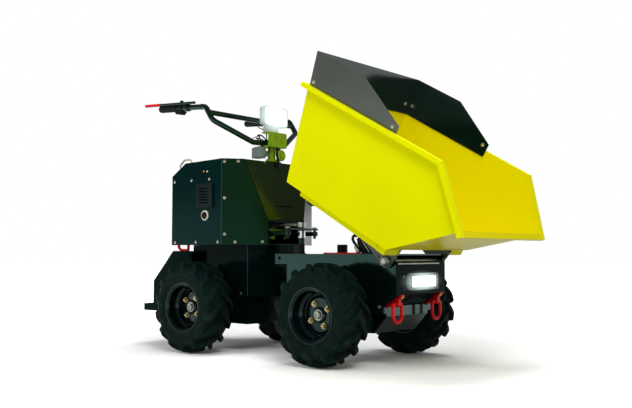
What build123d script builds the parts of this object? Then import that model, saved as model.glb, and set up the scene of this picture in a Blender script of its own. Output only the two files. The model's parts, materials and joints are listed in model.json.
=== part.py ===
from build123d import *
import math
import os

# Articulated four-wheel site dumper with a forward-tipping skip.
# Millimetres. +X is the way the machine drives, +Y is its left, +Z is up.
# The origin is on the ground, under the middle of the machine's length and width.

os.makedirs("parts", exist_ok=True)

# ------------------------------------------------------------------ driving dimensions
# Running gear
wheelbase = 775.0
track = 634.0
tyre_radius = 210.0
tyre_width = 150.0
rim_flange_radius = 114.0
rim_seat_radius = 103.0
rim_half_width = 70.0
rim_wall = 4.0
disc_offset = 3.0            # wheel disc, outboard of the wheel's middle plane
disc_wall = 8.0
hub_radius = 33.0
hub_length = 62.0
stub_radius = 20.0
axle_tube_radius = 38.0
gearcase_radius = 64.0

# Rear unit
frame_half_width = 180.0
frame_bottom = 132.0
plate = 6.0                  # frame plates
rear_frame_back = 160.0      # behind the rear axle
rear_frame_front = 218.0     # ahead of the rear axle
box_half_width = 313.0
box_bottom = 496.0
box_sheet = 3.0
box_back = 165.0             # behind the rear axle
box_corner = 181.0           # front corner, ahead of the rear axle
nose_foot_x = 291.0          # nose at the foot of its sloping cover
nose_head_x = 232.0          # nose at the top
nose_foot_half = 126.0
nose_window_top = 608.0      # top of the open window under the sloping cover
hood_seam = 806.0
hood_back = 825.0            # heights of the hood: rear edge, rear crease, front
hood_crease = 883.0
hood_crease_x = 70.0         # behind the rear axle
hood_front = 891.0
hood_hole_radius = 27.0
flange_top = 896.0           # top of the column's flange bearing on the hood

# Rear platform
guard_half_width = 229.0
guard_sheet = 4.0
guard_back = 405.0           # behind the rear axle
guard_top = 469.0
guard_knee = 320.0
step_height = 204.0
step_back = 480.0
step_lip = 34.0

# Articulation
pivot_ahead = wheelbase / 2  # kingpin, ahead of the rear axle
kingpin_radius = 25.0
kingpin_top_radius = 16.0
kingpin_head_radius = 12.0   # turned head above the lever, in the steady rod's eye
pivot_barrel_radius = 44.0
rear_lug_low = 318.0
rear_lug_high = 404.0
front_lug_low = 276.0
front_lug_high = 441.0
lug_plate = 12.0
steer_arm = 95.0             # half the length of both steering levers
lever_width = 34.0
lever_plate = 8.0
lever_height = 565.0         # underside of both steering levers
column_ahead = 195.0         # steering column, ahead of the rear axle
column_radius = 19.0
link_radius = 10.5
link_drop = 16.0             # link's middle, under the levers
link_end_radius = 15.0
link_end_height = 20.0
stud_radius = 7.0
stud_half = 23.0             # stud, above and below the link's middle
steady_height = 590.0        # rod between the column and the kingpin, over the levers
steady_radius = 7.0
steady_eye_radius = 21.0
steady_eye_height = 22.0

# Steering head
head_x = 236.0               # front face of the head plate, ahead of the rear axle
head_width = 126.0
head_foot = 971.0            # top of the foot plate
head_shelf = 1036.0          # top of the lamp's shelf
head_plate = 6.0
bar_radius = 13.0
cross_bar_radius = 12.5
grip_radius = 16.0
bar_half = 290.0

# Front unit
deck_height = 455.0
front_side_back = 463.0      # rear edge of the side plates, ahead of the rear axle
front_face = 1046.0          # front panel, ahead of the rear axle
front_panel_foot = 292.0
front_panel_head = 425.0
panel_sheet = 4.0
apron_back = 974.0           # sloping apron under the panel, where it meets the nose box
nose_box_front = 980.0
nose_box_back = 894.0
nose_box_half = 150.0
nose_box_lip = 203.0         # foot of the nose box's upright face
nose_box_toe = 916.0         # front of its bottom
shoulder_height = 215.0      # strips between the nose box and the side plates
deck_sheet = 6.0
deck_flange = 45.0
deck_eye_ahead = 418.0
deck_eye_radius = 8.0
deck_slot_width = 84.0
deck_slot_back = 538.0
deck_slot_front = 930.0
buffer_radius = 24.5
buffer_spread = 152.0
buffer_ahead = 510.5

# Lashing rings
ring_bar = 7.0               # radius of the rings' bar
ring_half = 30.0             # half the width of a ring, on its centre line
ring_leg = 44.0
front_ring_ahead = 1027.0
front_ring_spread = 143.0
front_ring_height = 255.0    # straight bar of a front ring
rear_ring_back = 181.0       # straight bar of a rear ring, behind the rear axle
rear_ring_spread = 195.0
rear_ring_height = 502.0

# Skip, in its own frame: along the rim and square to it, from the tilt pins
tilt_pin_ahead = 1010.0
tilt_pin_height = 427.0
tilt_pin_radius = 10.0
tilt_shown = 30.0            # degrees tipped, as it stands
skip_wall = 3.0
skip_rim_z = 490.0
skip_floor_z = 76.0
skip_rear_top = -588.0
skip_rear_foot = -530.0
skip_floor_front = 45.0
skip_bend = 131.0
lip_x = 311.0
lip_z = 302.0
skip_half_foot = 303.0       # half width at the front of the floor
side_flare = 0.09            # growth of the half width with height
side_taper = 0.03            # loss of half width towards the lip
rim_width = 21.0
rim_depth = 18.0
rail_depth = 26.0
rail_width = 46.0
rail_spread = 268.0
rail_front = -8.0
cradle_half_width = 190.0
cradle_plate = 8.0
cradle_tube = 25.0
ram_side = 0.0               # the ram stands on the middle line

# Hopper extension, in the skip's frame
ext_sheet = 3.0
ext_foot_z = 462.0
ext_top_z = 629.0
ext_rear = -600.0
ext_front_top = -341.0
ext_front_foot = -105.0

# Clearances
shaft_gap = 0.1              # shafts in their bores, on the radius
seat_gap = 0.3               # pieces on different bodies that rest on each other
buffer_gap = 5.0             # lowered skip over its rubber buffers

# ------------------------------------------------------------------ derived places
tilt = math.radians(tilt_shown)


def along_skip(x, z):
    """Distance ahead of the tilt pins of a point given in the skip's frame."""
    return x * math.cos(tilt) + z * math.sin(tilt)


mouth_run = lip_x - skip_bend
mouth_fall = skip_rim_z - lip_z
mouth_length = math.hypot(mouth_run, mouth_fall)
mouth_out = (mouth_fall / mouth_length, mouth_run / mouth_length)
mouth_down = (mouth_run / mouth_length, -mouth_fall / mouth_length)
lip_reach = tilt_pin_ahead + along_skip(lip_x + rim_width * mouth_down[0], lip_z + rim_width * mouth_down[1])
rear_axle_x = -(lip_reach - step_back) / 2
front_axle_x = rear_axle_x + wheelbase
pivot_x = rear_axle_x + pivot_ahead
column_x = rear_axle_x + column_ahead
tilt_pin_x = rear_axle_x + tilt_pin_ahead
axle_height = tyre_radius
link_height = lever_height - link_drop
apron_slope = 0.649          # rise of the apron for each millimetre forward
apron_rise = panel_sheet * math.hypot(1, apron_slope)
apron_foot = front_panel_foot - (front_face + panel_sheet - apron_back) * apron_slope

# The skip's frame: local x runs forward along the rim, local y up from the floor.
skip_side = Plane(
    origin=(tilt_pin_x, 0, tilt_pin_height),
    x_dir=(math.cos(tilt), 0, -math.sin(tilt)),
    z_dir=(0, -1, 0),
)


def skip_point(x, y, z):
    """World place of a point given along the rim, across and up in the skip's frame."""
    return skip_side.from_local_coords(Vector(x, z, -y))


def skip_level(z):
    """Plane parallel to the skip's rim, z above its tilt pins: local x forward, local y left."""
    return Plane(
        origin=skip_point(0, 0, z),
        x_dir=(math.cos(tilt), 0, -math.sin(tilt)),
        z_dir=(math.sin(tilt), 0, math.cos(tilt)),
    )


def side_at(y):
    """Plane along the machine at a given y: local x forward from the origin, local y up."""
    return Plane(origin=(0, y, 0), x_dir=(1, 0, 0), z_dir=(0, -1, 0))


def level(z):
    """Horizontal plane at height z."""
    return Plane.XY.offset(z)


def half_width(x, z):
    """Half width of the skip outside its walls, in its own frame."""
    return skip_half_foot + side_flare * (z - skip_floor_z) - side_taper * (x - skip_floor_front)


def write(part, name):
    """Label a finished piece and write its STEP file."""
    part.label = name
    export_step(part, f"parts/{name}.step")


def ahead(x):
    """Place along X of something measured ahead of the rear axle."""
    return rear_axle_x + x


def facing(x, z):
    """Upright plane across the machine, x ahead of the rear axle: local x left, local y up from z."""
    return Plane(origin=(ahead(x), 0, z), x_dir=(0, 1, 0), z_dir=(1, 0, 0))


# ------------------------------------------------------------------ wheels
# name, axle x, side (+1 left, -1 right)
wheel_table = [
    ("front_left", front_axle_x, 1),
    ("front_right", front_axle_x, -1),
    ("rear_left", rear_axle_x, 1),
    ("rear_right", rear_axle_x, -1),
]

for wheel_name, wheel_x, wheel_side in wheel_table:
    # Sketch plane across the wheel: local x outboard, local y up.
    across = Plane(
        origin=(wheel_x, wheel_side * track / 2, axle_height),
        x_dir=(0, wheel_side, 0),
        z_dir=(wheel_side, 0, 0),
    )
    spin = Axis((wheel_x, wheel_side * track / 2, axle_height), (0, 1, 0))
    bead = rim_half_width - 9.0
    with BuildPart() as tyre:
        with BuildSketch(across):
            with BuildLine():
                Polyline(
                    (1 - rim_half_width, rim_flange_radius + 2),
                    (5 - rim_half_width, rim_flange_radius + 1),
                    (-bead, rim_seat_radius + seat_gap),
                    (bead, rim_seat_radius + seat_gap),
                    (rim_half_width - 5, rim_flange_radius + 1),
                    (rim_half_width - 1, rim_flange_radius + 2),
                )
                ThreePointArc(
                    (rim_half_width - 1, rim_flange_radius + 2),
                    (tyre_width / 2, 0.76 * tyre_radius),
                    (tyre_width / 2 - 9, tyre_radius - 20),
                )
                ThreePointArc(
                    (tyre_width / 2 - 9, tyre_radius - 20),
                    (tyre_width / 2 - 15, tyre_radius - 8),
                    (tyre_width / 2 - 30, tyre_radius - 3),
                )
                ThreePointArc(
                    (tyre_width / 2 - 30, tyre_radius - 3),
                    (0, tyre_radius),
                    (30 - tyre_width / 2, tyre_radius - 3),
                )
                ThreePointArc(
                    (30 - tyre_width / 2, tyre_radius - 3),
                    (15 - tyre_width / 2, tyre_radius - 8),
                    (9 - tyre_width / 2, tyre_radius - 20),
                )
                ThreePointArc(
                    (9 - tyre_width / 2, tyre_radius - 20),
                    (-tyre_width / 2, 0.76 * tyre_radius),
                    (1 - rim_half_width, rim_flange_radius + 2),
                )
            make_face()
        revolve(axis=spin)
    write(tyre.part, f"tyre_{wheel_name}")

    with BuildPart() as wheel:
        with BuildSketch(across):
            with BuildLine():
                Polyline(
                    (-rim_half_width, rim_flange_radius),
                    (-rim_half_width + 5, rim_flange_radius),
                    (-bead, rim_seat_radius),
                    (-20, rim_seat_radius - 3),
                    (-12, rim_seat_radius - 14),
                    (14, rim_seat_radius - 14),
                    (24, rim_seat_radius - 3),
                    (bead, rim_seat_radius),
                    (rim_half_width - 5, rim_flange_radius),
                    (rim_half_width, rim_flange_radius),
                    (rim_half_width, rim_flange_radius - rim_wall),
                    (bead + 2, rim_seat_radius - rim_wall),
                    (26, rim_seat_radius - 3 - rim_wall),
                    (16, rim_seat_radius - 14 - rim_wall),
                    (-14, rim_seat_radius - 14 - rim_wall),
                    (-22, rim_seat_radius - 3 - rim_wall),
                    (-bead - 2, rim_seat_radius - rim_wall),
                    (-rim_half_width, rim_flange_radius - rim_wall),
                    close=True,
                )
            make_face()
        revolve(axis=spin)
        # Pressed disc: flat centre, raised ring, then down to the drop centre.
        with BuildSketch(across):
            with BuildLine():
                Polyline(
                    (disc_offset - disc_wall / 2, 0),
                    (disc_offset - disc_wall / 2, 66),
                    (disc_offset - 10, 78),
                    (disc_offset - 8, rim_seat_radius - 15),
                    (disc_offset, rim_seat_radius - 15),
                    (disc_offset - 2, 80),
                    (disc_offset + disc_wall / 2, 68),
                    (disc_offset + disc_wall / 2, 0),
                    close=True,
                )
            make_face()
        revolve(axis=spin)
        # Hub: a boss from behind the disc to a turned nose in front of it.
        with BuildSketch(across):
            with BuildLine():
                Polyline(
                    (disc_offset - hub_length, 0),
                    (disc_offset - hub_length, hub_radius + 6),
                    (disc_offset - disc_wall / 2, hub_radius + 10),
                    (disc_offset + disc_wall / 2, hub_radius),
                    (disc_offset + 12, hub_radius - 3),
                    (disc_offset + 15, hub_radius - 8),
                    (disc_offset + 15, 0),
                    close=True,
                )
            make_face()
        revolve(axis=spin)
        # Bore for the stub axle, open to the machine's side.
        with BuildSketch(across):
            with BuildLine():
                Polyline(
                    (disc_offset - hub_length - 5, 0),
                    (disc_offset - hub_length - 5, stub_radius + shaft_gap),
                    (disc_offset - disc_wall, stub_radius + shaft_gap),
                    (disc_offset - disc_wall, 0),
                    close=True,
                )
            make_face()
        revolve(axis=spin, mode=Mode.SUBTRACT)
    write(wheel.part, f"wheel_{wheel_name}")

# ------------------------------------------------------------------ axles
hub_face = track / 2 + disc_offset - hub_length
stub_end = track / 2 + disc_offset - disc_wall - 2
axle_collar = hub_face - 6
for axle_name, axle_x in (("front_axle", front_axle_x), ("rear_axle", rear_axle_x)):
    across = Plane(origin=(axle_x, 0, axle_height), x_dir=(0, 1, 0), z_dir=(1, 0, 0))
    with BuildPart() as axle:
        # One half of the axle in section: gearcase, tube, brake collar, stub.
        with BuildSketch(across):
            with BuildLine():
                Polyline(
                    (0, 0),
                    (0, gearcase_radius),
                    (40, gearcase_radius),
                    (66, gearcase_radius - 12),
                    (96, axle_tube_radius),
                    (axle_collar - 30, axle_tube_radius),
                    (axle_collar - 26, axle_tube_radius + 22),
                    (axle_collar, axle_tube_radius + 22),
                    (axle_collar, stub_radius),
                    (stub_end, stub_radius),
                    (stub_end, 0),
                    close=True,
                )
            make_face()
        revolve(axis=Axis((axle_x, 0, axle_height), (0, 1, 0)))
        mirror(about=Plane.XZ)
        # Drive motor flanged to the back of the gearcase, lying along the machine.
        with BuildSketch(across):
            Circle(52)
        extrude(amount=-138)
    write(axle.part, axle_name)

# ------------------------------------------------------------------ rear frame
with BuildPart() as rear_frame:
    with BuildSketch(level(frame_bottom)):
        with Locations(((ahead(rear_frame_front) + ahead(-rear_frame_back)) / 2, 0)):
            Rectangle(rear_frame_front + rear_frame_back, 2 * frame_half_width)
    extrude(amount=box_bottom - seat_gap - frame_bottom)
    # Nose, tapering in plan to the pivot.
    nose_low = 258.0
    with BuildSketch(level(nose_low)):
        with BuildLine():
            Polyline(
                (ahead(rear_frame_front - 2), -frame_half_width),
                (ahead(rear_frame_front), -frame_half_width),
                (ahead(nose_foot_x), -58),
                (ahead(nose_foot_x), 58),
                (ahead(rear_frame_front), frame_half_width),
                (ahead(rear_frame_front - 2), frame_half_width),
                close=True,
            )
        make_face()
    extrude(amount=box_bottom - seat_gap - nose_low)
    # Hollow inside, open at the top under the power box.
    with BuildSketch(level(frame_bottom + plate)):
        with Locations(((ahead(rear_frame_front) + ahead(-rear_frame_back)) / 2, 0)):
            Rectangle(rear_frame_front + rear_frame_back - 2 * plate, 2 * (frame_half_width - plate))
    extrude(amount=box_bottom, mode=Mode.SUBTRACT)
    with BuildSketch(level(nose_low + plate)):
        with BuildLine():
            Polyline(
                (ahead(rear_frame_front - 20), plate - frame_half_width + 12),
                (ahead(rear_frame_front), plate - frame_half_width + 12),
                (ahead(nose_foot_x - plate), -54 + plate / 2),
                (ahead(nose_foot_x - plate), 54 - plate / 2),
                (ahead(rear_frame_front), frame_half_width - plate - 12),
                (ahead(rear_frame_front - 20), frame_half_width - plate - 12),
                close=True,
            )
        make_face()
    extrude(amount=box_bottom, mode=Mode.SUBTRACT)
    # Two pivot plates and the pivot barrel between them.
    for lug_z in (rear_lug_low, rear_lug_high - lug_plate):
        with BuildSketch(level(lug_z)):
            with BuildLine():
                Polyline(
                    (ahead(nose_foot_x - plate), -56),
                    (pivot_x, -pivot_barrel_radius),
                    (pivot_x, pivot_barrel_radius),
                    (ahead(nose_foot_x - plate), 56),
                    close=True,
                )
            make_face()
            with Locations((pivot_x, 0)):
                Circle(pivot_barrel_radius)
        extrude(amount=lug_plate)
    with BuildSketch(level(rear_lug_low)):
        with Locations((pivot_x, 0)):
            Circle(pivot_barrel_radius - 5)
    extrude(amount=rear_lug_high - rear_lug_low)
    with BuildSketch(level(rear_lug_low - 1)):
        with Locations((pivot_x, 0)):
            Circle(kingpin_radius + shaft_gap)
    extrude(amount=rear_lug_high - rear_lug_low + 2, mode=Mode.SUBTRACT)
    # Axle tube's passage through both side plates.
    with BuildSketch(side_at(frame_half_width + 20)):
        with Locations((rear_axle_x, axle_height)):
            Circle(axle_tube_radius + seat_gap)
    extrude(amount=2 * frame_half_width + 40, mode=Mode.SUBTRACT)
write(rear_frame.part, "rear_frame")

# ------------------------------------------------------------------ power box
nose_slope = (nose_foot_x - nose_head_x) / (hood_front - nose_window_top)


def box_outline(inset):
    """Closed side profile of the power box, drawn inside by inset."""
    return [
        (ahead(inset - box_back), box_bottom + inset),
        (ahead(inset - box_back), hood_back - inset * 0.6),
        (ahead(-hood_crease_x + inset * 0.3), hood_crease - inset),
        (ahead(nose_head_x - inset), hood_front - inset),
        (ahead(nose_foot_x - inset), nose_window_top),
        (ahead(nose_foot_x - inset), box_bottom + inset),
    ]


def box_plan(inset):
    """Plan outline of the power box, with its two angled front corners, inside by inset."""
    corner_run = box_half_width - nose_foot_half
    corner_rise = nose_foot_x - box_corner
    shift = inset * math.hypot(corner_run, corner_rise) / corner_rise
    far_half = nose_foot_half - shift
    edge = box_half_width - inset
    edge_x = box_corner - (shift - inset) * corner_rise / corner_run
    nose_x = edge_x + corner_rise * (edge - far_half) / corner_run
    return [
        (ahead(inset - box_back), -edge),
        (ahead(edge_x), -edge),
        (ahead(nose_x), -far_half),
        (ahead(nose_x), far_half),
        (ahead(edge_x), edge),
        (ahead(inset - box_back), edge),
    ]


def box_form(inset):
    """Faceted form of the power box, inside by inset."""
    with BuildPart(mode=Mode.PRIVATE) as form:
        with BuildSketch(side_at(box_half_width + 10)):
            with BuildLine():
                Polyline(*box_outline(inset), close=True)
            make_face()
        extrude(amount=2 * box_half_width + 20)
        with BuildSketch(level(box_bottom - 10)):
            with BuildLine():
                Polyline(*box_plan(inset), close=True)
            make_face()
        extrude(amount=hood_front - box_bottom + 20, mode=Mode.INTERSECT)
    return form.part


box_skin = box_form(0.0) - box_form(box_sheet)

window_half = nose_foot_half - 10
with BuildPart() as power_box:
    add(box_skin)
    # Everything above the seam belongs to the hood.
    split(bisect_by=level(hood_seam), keep=Keep.BOTTOM)
    # Open window of the nose, where the steering links pass.
    with BuildSketch(level(box_bottom + 6)):
        with Locations((ahead(nose_foot_x), 0)):
            Rectangle(60, 2 * window_half)
    extrude(amount=nose_window_top - box_bottom - 12, mode=Mode.SUBTRACT)
    # Opening behind the sloping cover.
    with BuildSketch(level(nose_window_top + 14)):
        with Locations((ahead(nose_foot_x), 0)):
            Rectangle(120, 2 * (window_half - 14))
    extrude(amount=hood_seam - nose_window_top - 28, mode=Mode.SUBTRACT)
    # Service opening behind the louvred side cover.
    with BuildSketch(side_at(-box_half_width + 20)):
        with Locations((ahead(70), 724)):
            Rectangle(90, 84)
    extrude(amount=40, mode=Mode.SUBTRACT)
write(power_box.part, "power_box")

with BuildPart() as hood:
    add(box_skin)
    split(bisect_by=level(hood_seam), keep=Keep.TOP)
    # Collar hole for the steering column.
    with BuildSketch(level(hood_seam)):
        with Locations((column_x, 0)):
            Circle(hood_hole_radius)
    extrude(amount=120, mode=Mode.SUBTRACT)
write(hood.part, "power_box_hood")

# Sloping nose cover, laid on the nose between its two angled corners.
nose_face = Plane(
    origin=(ahead(nose_foot_x), 0, nose_window_top),
    x_dir=(0, 1, 0),
    z_dir=(1, 0, nose_slope),
)
nose_length = math.hypot(nose_foot_x - nose_head_x, hood_front - nose_window_top)
nose_top_half = nose_foot_half + (nose_foot_x - nose_head_x) * (
    (box_half_width - nose_foot_half) / (nose_foot_x - box_corner)
)
with BuildPart() as nose_cover:
    with BuildSketch(nose_face):
        with BuildLine():
            Polyline(
                (3 - nose_foot_half, 3),
                (nose_foot_half - 3, 3),
                (nose_top_half - 6, nose_length - 4),
                (6 - nose_top_half, nose_length - 4),
                close=True,
            )
        make_face()
        with BuildLine():
            Polyline(
                (-60, 70),
                (60, 70),
                (60, 74),
                (-60, 74),
                close=True,
            )
        make_face(mode=Mode.SUBTRACT)
    extrude(amount=box_sheet)
    chamfer(nose_cover.faces().sort_by(Axis.X)[-1].edges(), 1.2)
write(nose_cover.part, "nose_cover")

# Louvred cover on the right side with a raised front strip.
with BuildPart() as side_cover:
    with BuildSketch(side_at(-box_half_width)):
        with Locations((ahead(70), 724)):
            RectangleRounded(120, 112, 4)
    extrude(amount=4)
    with BuildSketch(side_at(-box_half_width - 4)):
        with Locations((ahead(119), 724)):
            RectangleRounded(18, 108, 3)
    extrude(amount=7)
    with BuildSketch(side_at(-box_half_width - 4)):
        with Locations((ahead(62), 724)):
            with GridLocations(0, 13, 1, 6):
                SlotOverall(64, 5)
    extrude(amount=-6, mode=Mode.SUBTRACT)
write(side_cover.part, "side_cover")

# Battery pack behind the covers: one closed mass.
with BuildPart() as battery:
    with BuildSketch(level(box_bottom + box_sheet + seat_gap)):
        with Locations((ahead(-10), 0)):
            RectangleRounded(240, 420, 8)
    extrude(amount=220)
write(battery.part, "battery_pack")


def hood_at(x):
    """Height of the hood's top, x ahead of the rear axle."""
    if x < -hood_crease_x:
        return hood_back + (x + box_back) * (hood_crease - hood_back) / (box_back - hood_crease_x)
    return hood_crease + (x + hood_crease_x) * (hood_front - hood_crease) / (nose_head_x + hood_crease_x)


# Two bent-bar handles over the hood's crease, for lifting it off.
handle_bar = 4.5
handle_spread = 285.0
handle_back, handle_front = -133.0, -54.0
foot_plate = 3.0
bar_foot = seat_gap + 0.8 * foot_plate
with BuildPart() as hood_handles:
    for handle_side in (-1, 1):
        with BuildLine(side_at(handle_side * handle_spread)) as handle_path:
            FilletPolyline(
                (ahead(handle_back), hood_at(handle_back) + bar_foot),
                (ahead(handle_back - 9), hood_at(handle_back) + 34),
                (ahead(-110), hood_crease + 21),
                (ahead(-68), hood_crease + 21),
                (ahead(handle_front), hood_at(handle_front) + bar_foot),
                radius=9,
            )
        with BuildSketch(Plane(origin=handle_path.line @ 0, z_dir=handle_path.line % 0)):
            Circle(handle_bar)
        sweep()
        with BuildSketch(side_at(handle_side * handle_spread + 8)):
            with BuildLine():
                Polyline(
                    (ahead(handle_back - 12), hood_at(handle_back - 12) + seat_gap),
                    (ahead(handle_back + 12), hood_at(handle_back + 12) + seat_gap),
                    (ahead(handle_back + 12), hood_at(handle_back + 12) + seat_gap + foot_plate),
                    (ahead(handle_back - 12), hood_at(handle_back - 12) + seat_gap + foot_plate),
                    close=True,
                )
            make_face()
            with BuildLine():
                Polyline(
                    (ahead(handle_front - 10), hood_at(handle_front - 10) + seat_gap),
                    (ahead(handle_front + 12), hood_at(handle_front + 12) + seat_gap),
                    (ahead(handle_front + 12), hood_at(handle_front + 12) + seat_gap + foot_plate),
                    (ahead(handle_front - 10), hood_at(handle_front - 10) + seat_gap + foot_plate),
                    close=True,
                )
            make_face()
        extrude(amount=16)
write(hood_handles.part, "hood_handles")

# ------------------------------------------------------------------ rear platform
with BuildPart() as platform:
    for guard_side in (-1, 1):
        with BuildSketch(side_at(guard_side * (guard_half_width - guard_sheet / 2) + guard_sheet / 2)):
            with BuildLine():
                Polyline(
                    (ahead(-guard_back), step_height - step_lip),
                    (ahead(-guard_back), guard_knee),
                    (ahead(-256), guard_top),
                    (ahead(-118), guard_top),
                    (ahead(-118), step_height + 150),
                    (ahead(-rear_frame_back - seat_gap), step_height + 60),
                    (ahead(-rear_frame_back - seat_gap), step_height - step_lip),
                    close=True,
                )
            make_face()
        extrude(amount=guard_sheet)
    # Tread plate with a folded lip all round its back.
    with BuildSketch(level(step_height - guard_sheet)):
        with Locations(((ahead(-step_back) + ahead(-rear_frame_back - seat_gap)) / 2, 0)):
            Rectangle(step_back - rear_frame_back - seat_gap, 2 * guard_half_width)
    extrude(amount=guard_sheet)
    with BuildSketch(level(step_height - step_lip)):
        with Locations((ahead(-step_back) + guard_sheet / 2, 0)):
            Rectangle(guard_sheet, 2 * guard_half_width)
        with Locations((ahead(-(step_back + guard_back) / 2), 0)):
            with GridLocations(0, 2 * guard_half_width - guard_sheet, 1, 2):
                Rectangle(step_back - guard_back, guard_sheet)
    extrude(amount=step_lip)
    # Front web that bolts to the back of the frame.
    with BuildSketch(Plane(origin=(ahead(-rear_frame_back - seat_gap), 0, 0), x_dir=(0, 1, 0), z_dir=(1, 0, 0))):
        with Locations((0, step_height + 13)):
            Rectangle(2 * guard_half_width, 94)
    extrude(amount=-guard_sheet)
write(platform.part, "rear_platform")


def closed_ring(plane):
    """Closed ring of bent bar: a straight top on the plane's local x, two legs and a round end."""
    with BuildPart(mode=Mode.PRIVATE) as ring:
        with BuildLine(plane) as ring_path:
            Line((0, 0), (ring_half - 8, 0))
            RadiusArc((ring_half - 8, 0), (ring_half, -8), 8)
            Line((ring_half, -8), (ring_half, -ring_leg))
            ThreePointArc((ring_half, -ring_leg), (0, -ring_leg - ring_half), (-ring_half, -ring_leg))
            Line((-ring_half, -ring_leg), (-ring_half, -8))
            RadiusArc((-ring_half, -8), (8 - ring_half, 0), 8)
            Line((8 - ring_half, 0), (0, 0))
        with BuildSketch(Plane(origin=plane.origin, z_dir=plane.x_dir)):
            Circle(ring_bar)
        sweep(path=ring_path.line)
    return ring.part


# Rear lashing eyes: a plate on the back of the power box with a lug that holds an upright ring.
eye_back = -box_back - seat_gap
with BuildPart() as rear_rings:
    for ring_side in (-1, 1):
        ring_y = ring_side * rear_ring_spread
        with BuildSketch(side_at(ring_y + 9)):
            with BuildLine():
                Polyline(
                    (ahead(eye_back), rear_ring_height - 5),
                    (ahead(eye_back), rear_ring_height + 46),
                    (ahead(eye_back - 6), rear_ring_height + 46),
                    (ahead(eye_back - 6), rear_ring_height + 24),
                    (ahead(-rear_ring_back - 11), rear_ring_height + 14),
                    (ahead(-rear_ring_back - 11), rear_ring_height - 5),
                    close=True,
                )
            make_face()
        extrude(amount=18)
        ring_plane = Plane(
            origin=(ahead(-rear_ring_back), ring_y, rear_ring_height),
            x_dir=(0, 0, 1),
            z_dir=(0, 1, 0),
        )
        add(closed_ring(ring_plane))
write(rear_rings.part, "rear_lash_eyes")

# ------------------------------------------------------------------ kingpin and steering
steady_top = steady_height + steady_eye_height / 2
with BuildPart() as kingpin:
    with BuildSketch(Plane(origin=(pivot_x, 0, 0), x_dir=(1, 0, 0), z_dir=(0, -1, 0))):
        with BuildLine():
            Polyline(
                (0, front_lug_low - 14),
                (kingpin_radius + 10, front_lug_low - 14),
                (kingpin_radius + 10, front_lug_low - seat_gap),
                (kingpin_radius, front_lug_low - seat_gap),
                (kingpin_radius, front_lug_high + lug_plate),
                (kingpin_top_radius, front_lug_high + lug_plate + 10),
                (kingpin_top_radius, lever_height),
                (kingpin_head_radius, lever_height),
                (kingpin_head_radius, steady_top + 12),
                (0, steady_top + 12),
                close=True,
            )
        make_face()
    revolve(axis=Axis((pivot_x, 0, 0), (0, 0, 1)))
    # Steering lever keyed on the kingpin's head.
    with BuildSketch(level(lever_height)):
        with Locations((pivot_x, 0)):
            SlotCenterToCenter(2 * steer_arm, lever_width, rotation=90)
    extrude(amount=lever_plate)
    # Nut on the head, above the steady rod's eye.
    with BuildSketch(level(steady_top + seat_gap)):
        with Locations((pivot_x, 0)):
            RegularPolygon(18, 6)
    extrude(amount=9)
    # Studs under the lever's ends.
    with BuildSketch(level(link_height - stud_half)):
        with Locations((pivot_x, steer_arm), (pivot_x, -steer_arm)):
            Circle(stud_radius)
    extrude(amount=lever_height + lever_plate + 6 - link_height + stud_half)
write(kingpin.part, "kingpin_lever")

with BuildPart() as column:
    # Shaft with its head plate and lower lever.
    with BuildSketch(level(lever_height - 40)):
        with Locations((column_x, 0)):
            Circle(column_radius)
    extrude(amount=head_foot - lever_height + 40)
    with BuildSketch(level(lever_height)):
        with Locations((column_x, 0)):
            SlotCenterToCenter(2 * steer_arm, lever_width, rotation=90)
    extrude(amount=lever_plate)
    with BuildSketch(level(link_height - stud_half)):
        with Locations((column_x, steer_arm), (column_x, -steer_arm)):
            Circle(stud_radius)
    extrude(amount=lever_height + lever_plate + 6 - link_height + stud_half)
    # Collar above the hood's bearing.
    with BuildSketch(level(flange_top + seat_gap)):
        with Locations((column_x, 0)):
            Circle(column_radius + 10)
    extrude(amount=12)
    # Head: a foot plate, an upright front plate and a shelf for the lamp.
    with BuildSketch(facing(head_x, head_foot)):
        with Locations((0, (head_shelf - head_foot) / 2)):
            RectangleRounded(head_width, head_shelf - head_foot, 4)
    extrude(amount=-4)
    with BuildSketch(level(head_foot - head_plate)):
        with Locations((ahead(head_x - 35), 0)):
            Rectangle(70, head_width)
    extrude(amount=head_plate)
    with BuildSketch(level(head_shelf - head_plate)):
        with Locations((ahead(head_x - 23), 0)):
            Rectangle(46, head_width)
    extrude(amount=head_plate)
write(column.part, "steering_column")

# Bearings of the column: a flange bearing on the hood, and a plate bearing inside the nose.
bearing_bore = column_radius + shaft_gap
with BuildPart() as bearings:
    with BuildSketch(level(hood_front - 22)):
        with Locations((column_x, 0)):
            Circle(hood_hole_radius - seat_gap)
    extrude(amount=24)
    with BuildSketch(level(hood_front + seat_gap)):
        with Locations((column_x, 0)):
            RectangleRounded(64, 84, 12)
    extrude(amount=flange_top - hood_front - seat_gap)
    # Lower bearing, with its plate across the nose above the open window.
    with BuildSketch(level(steady_height - steady_eye_height / 2)):
        with Locations((column_x, 0)):
            Circle(column_radius + 10)
    extrude(amount=steady_eye_height + 8)
    with BuildSketch(level(steady_top + 2)):
        with Locations((ahead(nose_foot_x - box_sheet - seat_gap - 60), 0)):
            Rectangle(120, 2 * window_half - 4)
    extrude(amount=6)
    with BuildSketch(level(steady_height - 20)):
        with Locations((column_x, 0)):
            Circle(bearing_bore)
    extrude(amount=400, mode=Mode.SUBTRACT)
write(bearings.part, "column_bearings")

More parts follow.
